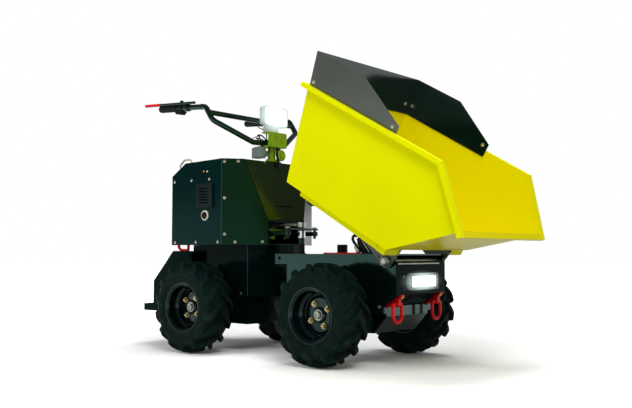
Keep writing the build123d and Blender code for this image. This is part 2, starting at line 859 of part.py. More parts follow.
# Steady rod from the lower bearing to the kingpin's head, which turns in its eye.
rod_start = Vector(column_x + column_radius + 10 + seat_gap, -20, steady_height)
rod_end = Vector(pivot_x - kingpin_head_radius - 4, 0, steady_height)
with BuildPart() as steady_rod:
    with BuildSketch(level(steady_height - steady_eye_height / 2)):
        with Locations((pivot_x, 0)):
            Circle(steady_eye_radius)
    extrude(amount=steady_eye_height)
    with BuildSketch(Plane(origin=rod_start, z_dir=rod_end - rod_start)):
        Circle(steady_radius)
    extrude(amount=(rod_end - rod_start).length)
    with BuildSketch(level(steady_height - steady_eye_height)):
        with Locations((pivot_x, 0)):
            Circle(kingpin_head_radius + shaft_gap)
    extrude(amount=2 * steady_eye_height, mode=Mode.SUBTRACT)
write(steady_rod.part, "steady_rod")

for link_name, link_side in (("left", 1), ("right", -1)):
    with BuildPart() as link:
        link_y = link_side * steer_arm
        with BuildSketch(Plane(origin=(column_x, link_y, link_height), x_dir=(0, 1, 0), z_dir=(1, 0, 0))):
            Circle(link_radius)
        extrude(amount=pivot_x - column_x)
        with BuildSketch(level(link_height - link_end_height / 2)):
            with Locations((column_x, link_y), (pivot_x, link_y)):
                Circle(link_end_radius)
        extrude(amount=link_end_height)
        with BuildSketch(level(link_height - link_end_height)):
            with Locations((column_x, link_y), (pivot_x, link_y)):
                Circle(stud_radius + shaft_gap)
        extrude(amount=2 * link_end_height, mode=Mode.SUBTRACT)
    write(link.part, f"steering_link_{link_name}")

# ------------------------------------------------------------------ handlebar
# Right-hand leg: head, knee, shoulder, grip end. Heights above ground, x ahead of the rear axle.
leg_points = [
    (200.0, 20.0, 984.5),
    (176.0, 107.0, 984.5),
    (91.0, bar_half, 1078.0),
    (44.0, bar_half, 1146.0),
    (-262.0, bar_half + 4, 1166.0),
]


def on_bar(x, side, out=0.0, up=0.0):
    """Place beside a grip bar's axis: x ahead of the rear axle, out and up from the axis."""
    share = (leg_points[3][0] - x) / (leg_points[3][0] - leg_points[4][0])
    half = bar_half + share * (leg_points[4][1] - bar_half)
    height = leg_points[3][2] + share * (leg_points[4][2] - leg_points[3][2])
    return Vector(ahead(x), side * (half + out), height + up)


def round_on_bar(x_from, x_to, side, radius, out=0.0, up=0.0):
    """Round bar along a grip, between two places ahead of the rear axle."""
    start, end = on_bar(x_from, side, out, up), on_bar(x_to, side, out, up)
    with BuildPart(mode=Mode.PRIVATE) as piece:
        with BuildSketch(Plane(origin=start, z_dir=end - start)):
            Circle(radius)
        extrude(amount=(end - start).length)
    return piece.part


with BuildPart() as handlebar:
    for bar_side in (-1, 1):
        bar_points = [(ahead(x), bar_side * y, z) for x, y, z in leg_points]
        with BuildLine() as bar_path:
            FilletPolyline(*bar_points, radius=[20, 34, 34])
        with BuildSketch(Plane(origin=bar_path.line @ 0, z_dir=bar_path.line % 0)):
            Circle(bar_radius)
        sweep()
    # Cross bar between the shoulders.
    with BuildSketch(Plane(origin=(ahead(64), 0, 1117), x_dir=(1, 0, 0), z_dir=(0, 1, 0))):
        Circle(cross_bar_radius)
    extrude(amount=bar_half, both=True)
    # Clamp block on the column's head.
    with BuildSketch(level(head_foot + seat_gap)):
        with Locations((ahead(205), 0)):
            RectangleRounded(38, 104, 6)
    extrude(amount=27)
write(handlebar.part, "handlebar")

bar_bore = bar_radius + seat_gap
grip_front = -160.0
with BuildPart() as grips:
    for bar_side in (-1, 1):
        add(round_on_bar(grip_front, -277, bar_side, grip_radius))
        add(round_on_bar(grip_front + 10, -268, bar_side, bar_bore), mode=Mode.SUBTRACT)
write(grips.part, "grips")

# Drive lever beside the right-hand grip: a collar on the bar, a black lever and its red sleeve.
lever_out, lever_up = 12.0, 20.5
lever_radius = 6.5
sleeve_front = -271.0
with BuildPart() as levers:
    add(round_on_bar(-74, -102, -1, bar_radius + 5))
    with BuildSketch(side_at(-(bar_half + lever_out + 1.6) + 5)):
        with BuildLine():
            Polyline(
                (ahead(-76), on_bar(-76, -1).Z),
                (ahead(-76), on_bar(-76, -1, 0, lever_up).Z),
                (ahead(-100), on_bar(-100, -1, 0, lever_up).Z),
                (ahead(-100), on_bar(-100, -1).Z),
                close=True,
            )
        make_face()
    extrude(amount=10)
    add(round_on_bar(-60, -110, -1, bar_bore), mode=Mode.SUBTRACT)
    add(round_on_bar(-20, sleeve_front + seat_gap, -1, lever_radius, lever_out, lever_up))
    add(round_on_bar(sleeve_front + 5, -378, -1, 4.0, lever_out, lever_up))
write(levers.part, "drive_lever")

with BuildPart() as sleeve:
    add(round_on_bar(sleeve_front, -386, -1, 7.5, lever_out, lever_up))
    fillet(sleeve.edges().filter_by(GeomType.CIRCLE).sort_by(Axis.X)[0], 4)
    add(round_on_bar(sleeve_front + 5, -379, -1, 4.0 + shaft_gap, lever_out, lever_up), mode=Mode.SUBTRACT)
write(sleeve.part, "lever_sleeve")

# Switch pod under the right-hand bar, ahead of the grip, with a push knob above.
with BuildPart() as pod:
    add(round_on_bar(-112, -152, -1, bar_radius + 3.6))
    pod_centre = on_bar(-132, -1, 0, -20)
    with BuildSketch(Plane(origin=pod_centre + Vector(0, 15, 0), x_dir=(1, 0, 0), z_dir=(0, -1, 0))):
        with BuildLine():
            Polyline((-26, 12), (26, 12), (26, -2), (12, -13), (-19, -9), (-26, -1), close=True)
        make_face()
    extrude(amount=30)
    with BuildSketch(Plane(origin=on_bar(-137, -1, -9, 10), x_dir=(1, 0, 0), z_dir=(0, 0, 1))):
        Circle(8.5)
    extrude(amount=28)
    add(round_on_bar(-90, -180, -1, bar_bore), mode=Mode.SUBTRACT)
write(pod.part, "switch_pod")

with BuildPart() as control_box:
    with BuildSketch(level(912)):
        with Locations((ahead(175.5), -67.5)):
            RectangleRounded(61, 45, 9)
    extrude(amount=48)
    with BuildSketch(level(960)):
        with Locations((ahead(182), -67.5)):
            RectangleRounded(48, 41, 8)
    extrude(amount=head_foot - head_plate - 0.8 - 960)
    # Arm clamped to the column.
    with BuildSketch(Plane(origin=(ahead(188), -46, 936), x_dir=(1, 0, 0), z_dir=(0, 1, 0))):
        Rectangle(18, 24)
    extrude(amount=46 - column_radius - seat_gap)
write(control_box.part, "control_box")

lamp_x = 225.0
lamp_height = 1114.0
with BuildPart() as lamp:
    with BuildSketch(facing(lamp_x, lamp_height)):
        RectangleRounded(164, 92, 16)
    extrude(amount=-30)
    # Cooling fins on its back.
    with BuildSketch(facing(lamp_x - 30, lamp_height)):
        with GridLocations(12, 0, 11, 1):
            Rectangle(4, 74)
        Rectangle(124, 6)
    extrude(amount=-18)
    with BuildSketch(facing(lamp_x, lamp_height)):
        RectangleRounded(152, 80, 11)
    extrude(amount=-5, mode=Mode.SUBTRACT)
    # Foot that stands on the head's shelf.
    with BuildSketch(level(head_shelf + seat_gap)):
        with Locations((ahead(lamp_x - 16), -20)):
            Rectangle(24, 80)
    extrude(amount=lamp_height - 44 - head_shelf)
write(lamp.part, "work_lamp")

with BuildPart() as lamp_lens:
    with BuildSketch(facing(lamp_x - 5 + seat_gap, lamp_height)):
        RectangleRounded(151, 79, 10.5)
    extrude(amount=3.5)
write(lamp_lens.part, "work_lamp_lens")

horn_y, horn_height = 30.0, 928.0
with BuildPart() as horn:
    with BuildSketch(facing(head_x, horn_height)):
        with Locations((horn_y, 0)):
            Circle(27)
    extrude(amount=-14)
    fillet(horn.edges().filter_by(GeomType.CIRCLE), 3)
    with BuildSketch(facing(head_x + 4, horn_height)):
        with Locations((horn_y, 0)):
            Circle(12)
    extrude(amount=-8)
    # Strap up to the head's foot plate.
    with BuildSketch(level(horn_height + 7)):
        with Locations((ahead(head_x - 14 - 6), horn_y)):
            Rectangle(14, 5)
    extrude(amount=head_foot - head_plate - seat_gap - horn_height - 7)
write(horn.part, "horn")

# ------------------------------------------------------------------ front frame
def apron_at(x):
    """Height of the sloping apron's outer face, x ahead of the rear axle."""
    return front_panel_foot - (front_face + panel_sheet - x) * apron_slope


with BuildPart() as front_frame:
    # Side plates.
    for plate_side in (-1, 1):
        with BuildSketch(side_at(plate_side * (frame_half_width - plate / 2) + plate / 2)):
            with BuildLine():
                Polyline(
                    (ahead(front_side_back), 276),
                    (ahead(front_side_back), deck_height - deck_sheet),
                    (ahead(front_face), deck_height - deck_sheet),
                    (ahead(front_face), apron_at(front_face) + apron_rise + seat_gap),
                    (ahead(apron_back), apron_foot + apron_rise + seat_gap),
                    (ahead(apron_back), shoulder_height),
                    (ahead(nose_box_back), shoulder_height),
                    (ahead(nose_box_back), frame_bottom),
                    (ahead(front_side_back + 60), frame_bottom),
                    close=True,
                )
            make_face()
            with Locations((front_axle_x, axle_height)):
                Circle(axle_tube_radius + seat_gap, mode=Mode.SUBTRACT)
            with Locations((tilt_pin_x, tilt_pin_height)):
                Circle(tilt_pin_radius, mode=Mode.SUBTRACT)
        extrude(amount=plate)
    # Back plate and floor.
    with BuildSketch(Plane(origin=(ahead(front_side_back), 0, 0), x_dir=(0, 1, 0), z_dir=(1, 0, 0))):
        with Locations((0, (276 + deck_height - deck_sheet) / 2)):
            Rectangle(2 * frame_half_width, deck_height - deck_sheet - 276)
    extrude(amount=plate)
    with BuildSketch(level(frame_bottom)):
        with Locations((ahead((front_side_back + 60 + nose_box_back) / 2), 0)):
            Rectangle(nose_box_back - front_side_back - 60, 2 * frame_half_width)
    extrude(amount=plate)
    # Nose box between the side plates: bottom, chamfer and upright face, bent from one sheet.
    with BuildSketch(side_at(nose_box_half)):
        with BuildLine():
            Polyline(
                (ahead(nose_box_back - 1), frame_bottom),
                (ahead(nose_box_toe), frame_bottom),
                (ahead(nose_box_front), nose_box_lip),
                (ahead(nose_box_front), apron_foot - seat_gap),
                (ahead(nose_box_front - plate), apron_foot - seat_gap),
                (ahead(nose_box_front - plate), nose_box_lip + 2),
                (ahead(nose_box_toe - 2.6), frame_bottom + plate),
                (ahead(nose_box_back - 1), frame_bottom + plate),
                close=True,
            )
        make_face()
    extrude(amount=2 * nose_box_half)
    for box_side in (-1, 1):
        with BuildSketch(side_at(box_side * (nose_box_half - plate / 2) + plate / 2)):
            with BuildLine():
                Polyline(
                    (ahead(nose_box_back), frame_bottom + 1),
                    (ahead(nose_box_toe - 1), frame_bottom + 1),
                    (ahead(nose_box_front - 1), nose_box_lip + 1),
                    (ahead(nose_box_front - 1), shoulder_height + plate),
                    (ahead(nose_box_back), shoulder_height + plate),
                    close=True,
                )
            make_face()
        extrude(amount=plate)
        # Strip, step and upright face between the nose box and a side plate.
        strip_y = box_side * (nose_box_half + frame_half_width - plate) / 2
        strip_width = frame_half_width - nose_box_half
        with BuildSketch(level(shoulder_height)):
            with Locations((ahead((nose_box_back + nose_box_front) / 2), strip_y)):
                Rectangle(nose_box_front - nose_box_back, strip_width)
        extrude(amount=plate)
        with BuildSketch(level(frame_bottom + 1)):
            with Locations((ahead(nose_box_back - plate / 2), strip_y)):
                Rectangle(plate, strip_width)
        extrude(amount=shoulder_height - frame_bottom)
        with BuildSketch(level(shoulder_height)):
            with Locations((ahead(nose_box_front - plate / 2), box_side * (nose_box_half + frame_half_width) / 2)):
                Rectangle(plate, strip_width + 1)
        extrude(amount=apron_foot - seat_gap - shoulder_height)
    # Lower pivot plate and upper pivot plate, rounded about the kingpin.
    for lug_z in (front_lug_low, front_lug_high - lug_plate):
        with BuildSketch(level(lug_z)):
            with BuildLine():
                Polyline(
                    (ahead(front_side_back + plate), -frame_half_width + plate),
                    (ahead(front_side_back - 20), -frame_half_width + plate),
                    (pivot_x, -pivot_barrel_radius),
                    (pivot_x, pivot_barrel_radius),
                    (ahead(front_side_back - 20), frame_half_width - plate),
                    (ahead(front_side_back + plate), frame_half_width - plate),
                    close=True,
                )
            make_face()
            with Locations((pivot_x, 0)):
                Circle(pivot_barrel_radius)
                Circle(kingpin_radius, mode=Mode.SUBTRACT)
        extrude(amount=lug_plate)
write(front_frame.part, "front_frame")

with BuildPart() as deck:
    deck_back = pivot_ahead + 3
    with BuildSketch(level(deck_height - deck_sheet)):
        with Locations(((ahead(deck_back) + ahead(front_face)) / 2, 0)):
            Rectangle(front_face - deck_back, 2 * frame_half_width)
        with Locations(((ahead(deck_slot_back) + ahead(deck_slot_front)) / 2, ram_side)):
            SlotOverall(deck_slot_front - deck_slot_back, deck_slot_width, mode=Mode.SUBTRACT)
        with Locations((pivot_x, 0)):
            Circle(kingpin_radius + 12, mode=Mode.SUBTRACT)
    extrude(amount=deck_sheet)
    # Folded rear flanges at both corners.
    with BuildSketch(level(deck_height - deck_flange)):
        with Locations(((ahead(deck_back) + ahead(front_side_back)) / 2, 0)):
            with GridLocations(0, 2 * frame_half_width - deck_sheet, 1, 2):
                Rectangle(front_side_back - deck_back - 1, deck_sheet)
    extrude(amount=deck_flange)
    # Sling hole through each flange.
    with BuildSketch(side_at(frame_half_width + 1)):
        with Locations((ahead(deck_eye_ahead), deck_height - deck_flange / 2 + 4)):
            Circle(deck_eye_radius)
    extrude(amount=2 * frame_half_width + 2, mode=Mode.SUBTRACT)
write(deck.part, "front_deck")

# Red stay bar for the raised skip, kept flat on the deck beside the slot.
with BuildPart() as stay:
    with BuildSketch(level(deck_height)):
        with Locations((ahead(596.5), 80)):
            SlotOverall(277, 22)
    extrude(amount=6)
write(stay.part, "safety_stay")

panel_face = front_face + panel_sheet
guard_hole_spread = 252.0
guard_hole_rows = 50.0
guard_hole_height = 338.0
guard_hole_radius = 3.4
with BuildPart() as front_panel:
    with BuildSketch(side_at(frame_half_width)):
        with BuildLine():
            Polyline(
                (ahead(front_face), front_panel_head),
                (ahead(panel_face), front_panel_head),
                (ahead(panel_face), front_panel_foot),
                (ahead(apron_back), apron_foot),
                (ahead(apron_back), apron_foot + apron_rise),
                (ahead(front_face), apron_at(front_face) + apron_rise),
                close=True,
            )
        make_face()
    extrude(amount=2 * frame_half_width)
    # Two slots down the apron.
    apron = Plane(
        origin=(ahead(1019.5), 0, apron_at(1019.5)),
        x_dir=(1, 0, apron_slope),
        z_dir=(apron_slope, 0, -1),
    )
    with BuildSketch(apron):
        with GridLocations(0, 100, 1, 2):
            SlotOverall(52, 10)
    extrude(amount=3 * panel_sheet, both=True, mode=Mode.SUBTRACT)
    # Holes for a lamp guard, beside the lamp.
    with BuildSketch(facing(panel_face + 1, guard_hole_height)):
        with GridLocations(guard_hole_spread, guard_hole_rows, 2, 2):
            Circle(guard_hole_radius)
    extrude(amount=-panel_sheet - 2, mode=Mode.SUBTRACT)
write(front_panel.part, "front_panel")

# Flat lamp on the panel, with rows of short fins above and below its lens.
lamp_back = panel_face + seat_gap
front_lamp_face = 1063.0
front_lamp_height = 343.0
with BuildPart() as front_lamp:
    with BuildSketch(facing(lamp_back, front_lamp_height)):
        RectangleRounded(222, 68, 6)
    extrude(amount=front_lamp_face - 4 - lamp_back)
    with BuildSketch(facing(front_lamp_face - 5, front_lamp_height)):
        RectangleRounded(184, 52, 6)
    extrude(amount=5)
    with BuildSketch(facing(front_lamp_face, front_lamp_height)):
        RectangleRounded(174, 44, 5)
    extrude(amount=-5, mode=Mode.SUBTRACT)
    with BuildSketch(facing(front_lamp_face, front_lamp_height)):
        with GridLocations(11, 62, 19, 2):
            Rectangle(5, 8)
    extrude(amount=-9, mode=Mode.SUBTRACT)
write(front_lamp.part, "front_lamp")

with BuildPart() as front_lens:
    with BuildSketch(facing(front_lamp_face - 5 + seat_gap, front_lamp_height)):
        RectangleRounded(173, 43, 4.5)
    extrude(amount=3.5)
write(front_lens.part, "front_lamp_lens")

# Front lashing eyes: a plate along the apron, a lug under it and a ring hanging in the lug.
with BuildPart() as front_rings:
    for ring_side in (-1, 1):
        ring_y = ring_side * front_ring_spread
        with BuildSketch(side_at(ring_y + 11)):
            with BuildLine():
                Polyline(
                    (ahead(nose_box_front + 0.5), apron_at(nose_box_front + 0.5) - seat_gap),
                    (ahead(panel_face + seat_gap), apron_at(panel_face + seat_gap) - seat_gap),
                    (ahead(panel_face + 6), front_panel_foot - seat_gap),
                    (ahead(panel_face + 6), front_panel_foot - 7),
                    (ahead(nose_box_front + 0.5), apron_at(nose_box_front + 0.5) - 10),
                    close=True,
                )
            make_face()
        extrude(amount=22)
        with BuildSketch(side_at(ring_y + 9)):
            with BuildLine():
                Polyline(
                    (ahead(front_ring_ahead - 22), apron_at(front_ring_ahead - 22) - 3),
                    (ahead(front_ring_ahead + 16), apron_at(front_ring_ahead + 16) - 3),
                    (ahead(front_ring_ahead + 12), front_ring_height - 6),
                    (ahead(front_ring_ahead + 4), front_ring_height - 12),
                    (ahead(front_ring_ahead - 4), front_ring_height - 12),
                    (ahead(front_ring_ahead - 12), front_ring_height - 6),
                    close=True,
                )
            make_face()
        extrude(amount=18)
        ring_plane = Plane(
            origin=(ahead(front_ring_ahead), ring_y, front_ring_height),
            x_dir=(0, 1, 0),
            z_dir=(1, 0, 0),
        )
        add(closed_ring(ring_plane))
write(front_rings.part, "front_lash_eyes")

buffer_top = tilt_pin_height + skip_floor_z - buffer_gap
with BuildPart() as buffers:
    with BuildSketch(level(deck_height)):
        with Locations((ahead(buffer_ahead), 0)):
            with GridLocations(0, 2 * buffer_spread, 1, 2):
                Circle(buffer_radius)
    extrude(amount=buffer_top - deck_height)
    fillet(buffers.edges().group_by(Axis.Z)[-1], 3)
write(buffers.part, "skip_buffers")

# Tilt pins through the cradle cheeks, with a washer and a head outside.
cheek_out = cradle_half_width + cradle_plate / 2
with BuildPart() as pins:
    with BuildSketch(Plane(origin=(tilt_pin_x, -(cheek_out + 14), tilt_pin_height), x_dir=(1, 0, 0), z_dir=(0, 1, 0))):
        Circle(tilt_pin_radius)
    extrude(amount=2 * (cheek_out + 14))
    for pin_side in (-1, 1):
        face_y = pin_side * (cheek_out + seat_gap)
        with BuildSketch(Plane(origin=(tilt_pin_x, face_y, tilt_pin_height), x_dir=(1, 0, 0), z_dir=(0, pin_side, 0))):
            Circle(20)
        extrude(amount=3)
        with BuildSketch(Plane(origin=(tilt_pin_x, face_y + pin_side * 3, tilt_pin_height), x_dir=(1, 0, 0), z_dir=(0, pin_side, 0))):
            RegularPolygon(16, 6)
        extrude(amount=11)
write(pins.part, "tilt_shaft")

# ------------------------------------------------------------------ skip
def skip_form(inset):
    """Closed form of the skip: its side profile, within its flared and tapered sides."""
    top = skip_rim_z + 20
    floor = skip_floor_z + inset
    with BuildPart(mode=Mode.PRIVATE) as form:
        for z in (skip_floor_z - 20, top):
            rear, front = skip_rear_top - 60, lip_x + 60
            with BuildSketch(skip_level(z)):
                with BuildLine():
                    Polyline(
                        (rear, -(half_width(rear, z) - inset)),
                        (front, -(half_width(front, z) - inset)),
                        (front, half_width(front, z) - inset),
                        (rear, half_width(rear, z) - inset),
                        close=True,
                    )
                make_face()
        loft()
        slope_shift = inset * 0.42
        with BuildSketch(skip_side.offset(600)):
            with BuildLine():
                if inset == 0:
                    Polyline(
                        (skip_rear_top, skip_rim_z),
                        (skip_rear_foot, floor),
                        (skip_floor_front, floor),
                        (lip_x, lip_z),
                        (skip_bend, skip_rim_z),
                        close=True,
                    )
                else:
                    Polyline(
                        (skip_rear_top + inset - 5, skip_rim_z + 35),
                        (skip_rear_foot + inset, floor),
                        (skip_floor_front - slope_shift, floor),
                        (lip_x - slope_shift + 60 * 0.763, lip_z + inset * 0.2 + 60 * 0.648),
                        (skip_bend + 80, skip_rim_z + 60),
                        close=True,
                    )
            make_face()
        extrude(amount=-1200, mode=Mode.INTERSECT)
    return form.part


def skip_direction(x, z):
    """World direction of a vector given in the skip's side view."""
    return (
        x * math.cos(tilt) + z * math.sin(tilt),
        0,
        -x * math.sin(tilt) + z * math.cos(tilt),
    )


# Mouth plane: local x across the skip to the left, local y from the bend down to the lip.
mouth = Plane(
    origin=skip_point(skip_bend, 0, skip_rim_z),
    x_dir=(0, 1, 0),
    z_dir=skip_direction(-mouth_out[0], -mouth_out[1]),
)
mouth_sign = 1.0 if mouth.y_dir.dot(Vector(*skip_direction(*mouth_down))) > 0 else -1.0

skip_shell_form = skip_form(0.0) - skip_form(skip_wall)
with BuildPart() as skip_shell:
    add(skip_shell_form)
    # Folded rim along the sides and the back, turned outward and down.
    with BuildSketch(skip_level(skip_rim_z - rim_depth)):
        with BuildLine():
            Polyline(
                (skip_rear_top - rim_width, -(half_width(skip_rear_top, skip_rim_z) + rim_width)),
                (skip_bend + 2, -(half_width(skip_bend, skip_rim_z) + rim_width)),
                (skip_bend + 2, half_width(skip_bend, skip_rim_z) + rim_width),
                (skip_rear_top - rim_width, half_width(skip_rear_top, skip_rim_z) + rim_width),
                close=True,
            )
        make_face()
        with BuildLine():
            Polyline(
                (skip_rear_top + skip_wall, skip_wall - half_width(skip_rear_top, skip_rim_z)),
                (skip_bend + 40, skip_wall - half_width(skip_bend + 38, skip_rim_z)),
                (skip_bend + 40, half_width(skip_bend + 38, skip_rim_z) - skip_wall),
                (skip_rear_top + skip_wall, half_width(skip_rear_top, skip_rim_z) - skip_wall),
                close=True,
            )
        make_face(mode=Mode.SUBTRACT)
    extrude(amount=rim_depth)
    # Rim round the mouth, square to the mouth's plane.
    bend_half = half_width(skip_bend, skip_rim_z)
    lip_half = half_width(lip_x, lip_z)
    with BuildSketch(mouth):
        with BuildLine():
            Polyline(
                (-(bend_half + rim_width), 0),
                (-(lip_half + rim_width), mouth_sign * (mouth_length + rim_width)),
                (lip_half + rim_width, mouth_sign * (mouth_length + rim_width)),
                (bend_half + rim_width, 0),
                close=True,
            )
        make_face()
        with BuildLine():
            Polyline(
                (skip_wall - bend_half, -mouth_sign * 30),
                (skip_wall - lip_half, mouth_sign * (mouth_length - skip_wall)),
                (lip_half - skip_wall, mouth_sign * (mouth_length - skip_wall)),
                (bend_half - skip_wall, -mouth_sign * 30),
                close=True,
            )
        make_face(mode=Mode.SUBTRACT)
    extrude(amount=rim_depth)
    # Two floor rails, and a short cross rail outside each hinge cheek.
    rail_top = skip_floor_z + 1
    rail_back = skip_rear_foot + 70
    cheek_clear = cradle_half_width + cradle_plate / 2 + seat_gap
    cross_out = rail_spread + rail_width / 2 - 3
    for rail_side in (-1, 1):
        with BuildSketch(skip_level(rail_top - rail_depth - 1)):
            with Locations(((rail_back + rail_front) / 2, rail_side * rail_spread)):
                Rectangle(rail_front - rail_back, rail_width)
        extrude(amount=rail_depth + 2)
        with BuildSketch(skip_level(rail_top - rail_depth - 4)):
            with Locations((rail_front + 22, rail_side * (cheek_clear + cross_out) / 2)):
                Rectangle(44, cross_out - cheek_clear)
        extrude(amount=rail_depth + 5)
write(skip_shell.part, "skip_shell")

# Cradle: two cheeks turning on the tilt shaft, tied by cross tubes under the floor.
ram_eye_x = -420.0
ram_eye_z = 34.0
ram_base_ahead = 885.0
ram_base_height = 250.0
cheek_top = skip_floor_z - seat_gap
rear_tube_x = -452.0
lug_inside = 18.0
lug_plate = 8.0
with BuildPart() as cradle:
    for cheek_side in (-1, 1):
        with BuildSketch(skip_side.offset(-cheek_side * cradle_half_width + cradle_plate / 2)):
            with BuildLine():
                Polyline(
                    (-500, cheek_top),
                    (-500, cheek_top - 22),
                    (-190, cheek_top - 24),
                    (-125, 11),
                    (-8, -26.9),
                    (27, 7),
                    (40, cheek_top),
                    close=True,
                )
            make_face()
            Circle(28)
            Circle(tilt_pin_radius + shaft_gap, mode=Mode.SUBTRACT)
            with Locations((-38, -4)):
                Circle(4, mode=Mode.SUBTRACT)
        extrude(amount=-cradle_plate)
    for tube_x in (rear_tube_x, -300.0, -90.0):
        with BuildSketch(skip_side.offset(cradle_half_width)):
            with Locations((tube_x, cheek_top - cradle_tube / 2)):
                RectangleRounded(cradle_tube, cradle_tube, 4)
        extrude(amount=-2 * cradle_half_width)
    # The rearmost tube is open between the ram lugs, where the rod's eye swings up.
    with BuildSketch(skip_side.offset(lug_inside - ram_side)):
        with Locations((rear_tube_x, cheek_top - cradle_tube / 2)):
            Rectangle(cradle_tube + 2, cradle_tube + 2)
    extrude(amount=-2 * lug_inside, mode=Mode.SUBTRACT)
    # Ram lugs under the floor, reaching back to the middle cross tube.
    for lug_start in (-lug_inside - lug_plate, lug_inside):
        with BuildSketch(skip_side.offset(-ram_side - lug_start)):
            with BuildLine():
                Polyline(
                    (ram_eye_x - 45, cheek_top),
                    (ram_eye_x - 18, ram_eye_z - 8),
                    (ram_eye_x + 18, ram_eye_z - 8),
                    (-300, cheek_top - 20),
                    (-300, cheek_top),
                    close=True,
                )
            make_face()
            with Locations((ram_eye_x, ram_eye_z)):
                Circle(18)
        extrude(amount=-lug_plate)
write(cradle.part, "skip_cradle")

# ------------------------------------------------------------------ tipping ram
eye_world = skip_point(ram_eye_x, ram_side, ram_eye_z)
base_world = Vector(ahead(ram_base_ahead), ram_side, ram_base_height)
ram_dir = (eye_world - base_world).normalized()
ram_length = (eye_world - base_world).length
ram_axis = Plane(origin=base_world, x_dir=(0, 1, 0), z_dir=ram_dir)
barrel_length = 300.0
with BuildPart() as ram_barrel:
    with BuildSketch(ram_axis.offset(16)):
        Circle(25)
    extrude(amount=barrel_length - 16)
    with BuildSketch(ram_axis.offset(barrel_length)):
        Circle(22)
    extrude(amount=12)
    with BuildSketch(Plane(origin=(base_world.X, ram_side + 16, base_world.Z), x_dir=(1, 0, 0), z_dir=(0, -1, 0))):
        Circle(24)
    extrude(amount=32)
    with BuildSketch(ram_axis.offset(70)):
        Circle(13)
    extrude(amount=barrel_length, mode=Mode.SUBTRACT)
    with BuildSketch(Plane(origin=(base_world.X, ram_side + 20, base_world.Z), x_dir=(1, 0, 0), z_dir=(0, -1, 0))):
        Circle(10 + shaft_gap)
    extrude(amount=40, mode=Mode.SUBTRACT)
write(ram_barrel.part, "ram_barrel")

with BuildPart() as ram_rod:
    with BuildSketch(ram_axis.offset(190)):
        Circle(13 - shaft_gap)
    extrude(amount=ram_length - 190 - 10)
    with BuildSketch(Plane(origin=eye_world + Vector(0, 12, 0), x_dir=(1, 0, 0), z_dir=(0, -1, 0))):
        Circle(17)
    extrude(amount=24)
    with BuildSketch(Plane(origin=eye_world + Vector(0, 16, 0), x_dir=(1, 0, 0), z_dir=(0, -1, 0))):
        Circle(8)
    extrude(amount=32)
write(ram_rod.part, "ram_rod")

with BuildPart() as ram_mount:
    for ear_side in (-1, 1):
        with BuildSketch(side_at(ram_side + ear_side * 33 + 4)):
            with BuildLine():
                Polyline(
                    (ahead(ram_base_ahead - 24), ram_base_height),
                    (ahead(ram_base_ahead - 12), ram_base_height - 60),
                    (ahead(ram_base_ahead - 22), frame_bottom + plate),
                    (ahead(ram_base_ahead + 22), frame_bottom + plate),
                    (ahead(ram_base_ahead + 24), ram_base_height),
                    close=True,
                )
            make_face()
            with Locations((ahead(ram_base_ahead), ram_base_height)):
                Circle(24)
        extrude(amount=8)
    with BuildSketch(side_at(ram_side + 37)):
        with Locations((ahead(ram_base_ahead), ram_base_height)):
            Circle(10)
    extrude(amount=74)
write(ram_mount.part, "ram_mount")

# ------------------------------------------------------------------ hopper extension
def ext_half(x, z):
    """Half width of the extension outside its sheets, inside the skip's wall."""
    return half_width(x, z) - skip_wall - seat_gap


def extension_form(inset):
    """Closed form of the hopper extension, inside by inset: flared sides within a side profile."""
    rear_slope = (skip_rear_foot - skip_rear_top) / (skip_rim_z - skip_floor_z)
    foot_x = skip_rear_top + (skip_rim_z - ext_foot_z) * rear_slope + skip_wall + seat_gap
    top_x = foot_x - (ext_top_z - ext_foot_z) * rear_slope
    rear, front = ext_rear - 60, ext_front_foot + 60
    with BuildPart(mode=Mode.PRIVATE) as form:
        for z in (ext_foot_z - 20, ext_top_z + 20):
            with BuildSketch(skip_level(z)):
                with BuildLine():
                    Polyline(
                        (rear, inset - ext_half(rear, z)),
                        (front, inset - ext_half(front, z)),
                        (front, ext_half(front, z) - inset),
                        (rear, ext_half(rear, z) - inset),
                        close=True,
                    )
                make_face()
        loft()
        with BuildSketch(skip_side.offset(600)):
            with BuildLine():
                if inset == 0:
                    Polyline(
                        (top_x, ext_top_z),
                        (foot_x, ext_foot_z),
                        (ext_front_foot, ext_foot_z),
                        (ext_front_foot, skip_rim_z + 30),
                        (ext_front_top, ext_top_z),
                        close=True,
                    )
                else:
                    Polyline(
                        (top_x + inset - 16 * rear_slope, ext_top_z + 16),
                        (foot_x + inset + 16 * rear_slope, ext_foot_z - 16),
                        (ext_front_foot + 30, ext_foot_z - 16),
                        (ext_front_foot + 30, ext_top_z + 16),
                        close=True,
                    )
            make_face()
        extrude(amount=-1200, mode=Mode.INTERSECT)
    return form.part


extension_sheet = extension_form(0.0) - extension_form(ext_sheet)
with BuildPart() as extension:
    add(extension_sheet)
write(extension.part, "hopper_extension")

print("rear axle x", round(rear_axle_x, 3), "pivot x", round(pivot_x, 3), "column x", round(column_x, 3))
print("tilt pin", round(tilt_pin_x, 3), tilt_pin_height, "ram base", base_world, "ram eye", eye_world)
print("ram direction", ram_dir, "length", round(ram_length, 2))
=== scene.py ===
"""Looks of a walk-behind site dumper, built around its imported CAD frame.

Every piece is a surface worked out with numpy, rides on a CAD body by name, and takes its finish from one
of the small material classes below. Sizes are in millimetres unless their note says metres, and a place is
given as (ahead of the rear axle, left, up).
"""

import json
import logging
import math
from collections.abc import Sequence
from dataclasses import dataclass
from enum import Enum
from functools import cached_property

import bmesh
import bpy
import numpy as np
from mathutils import Matrix


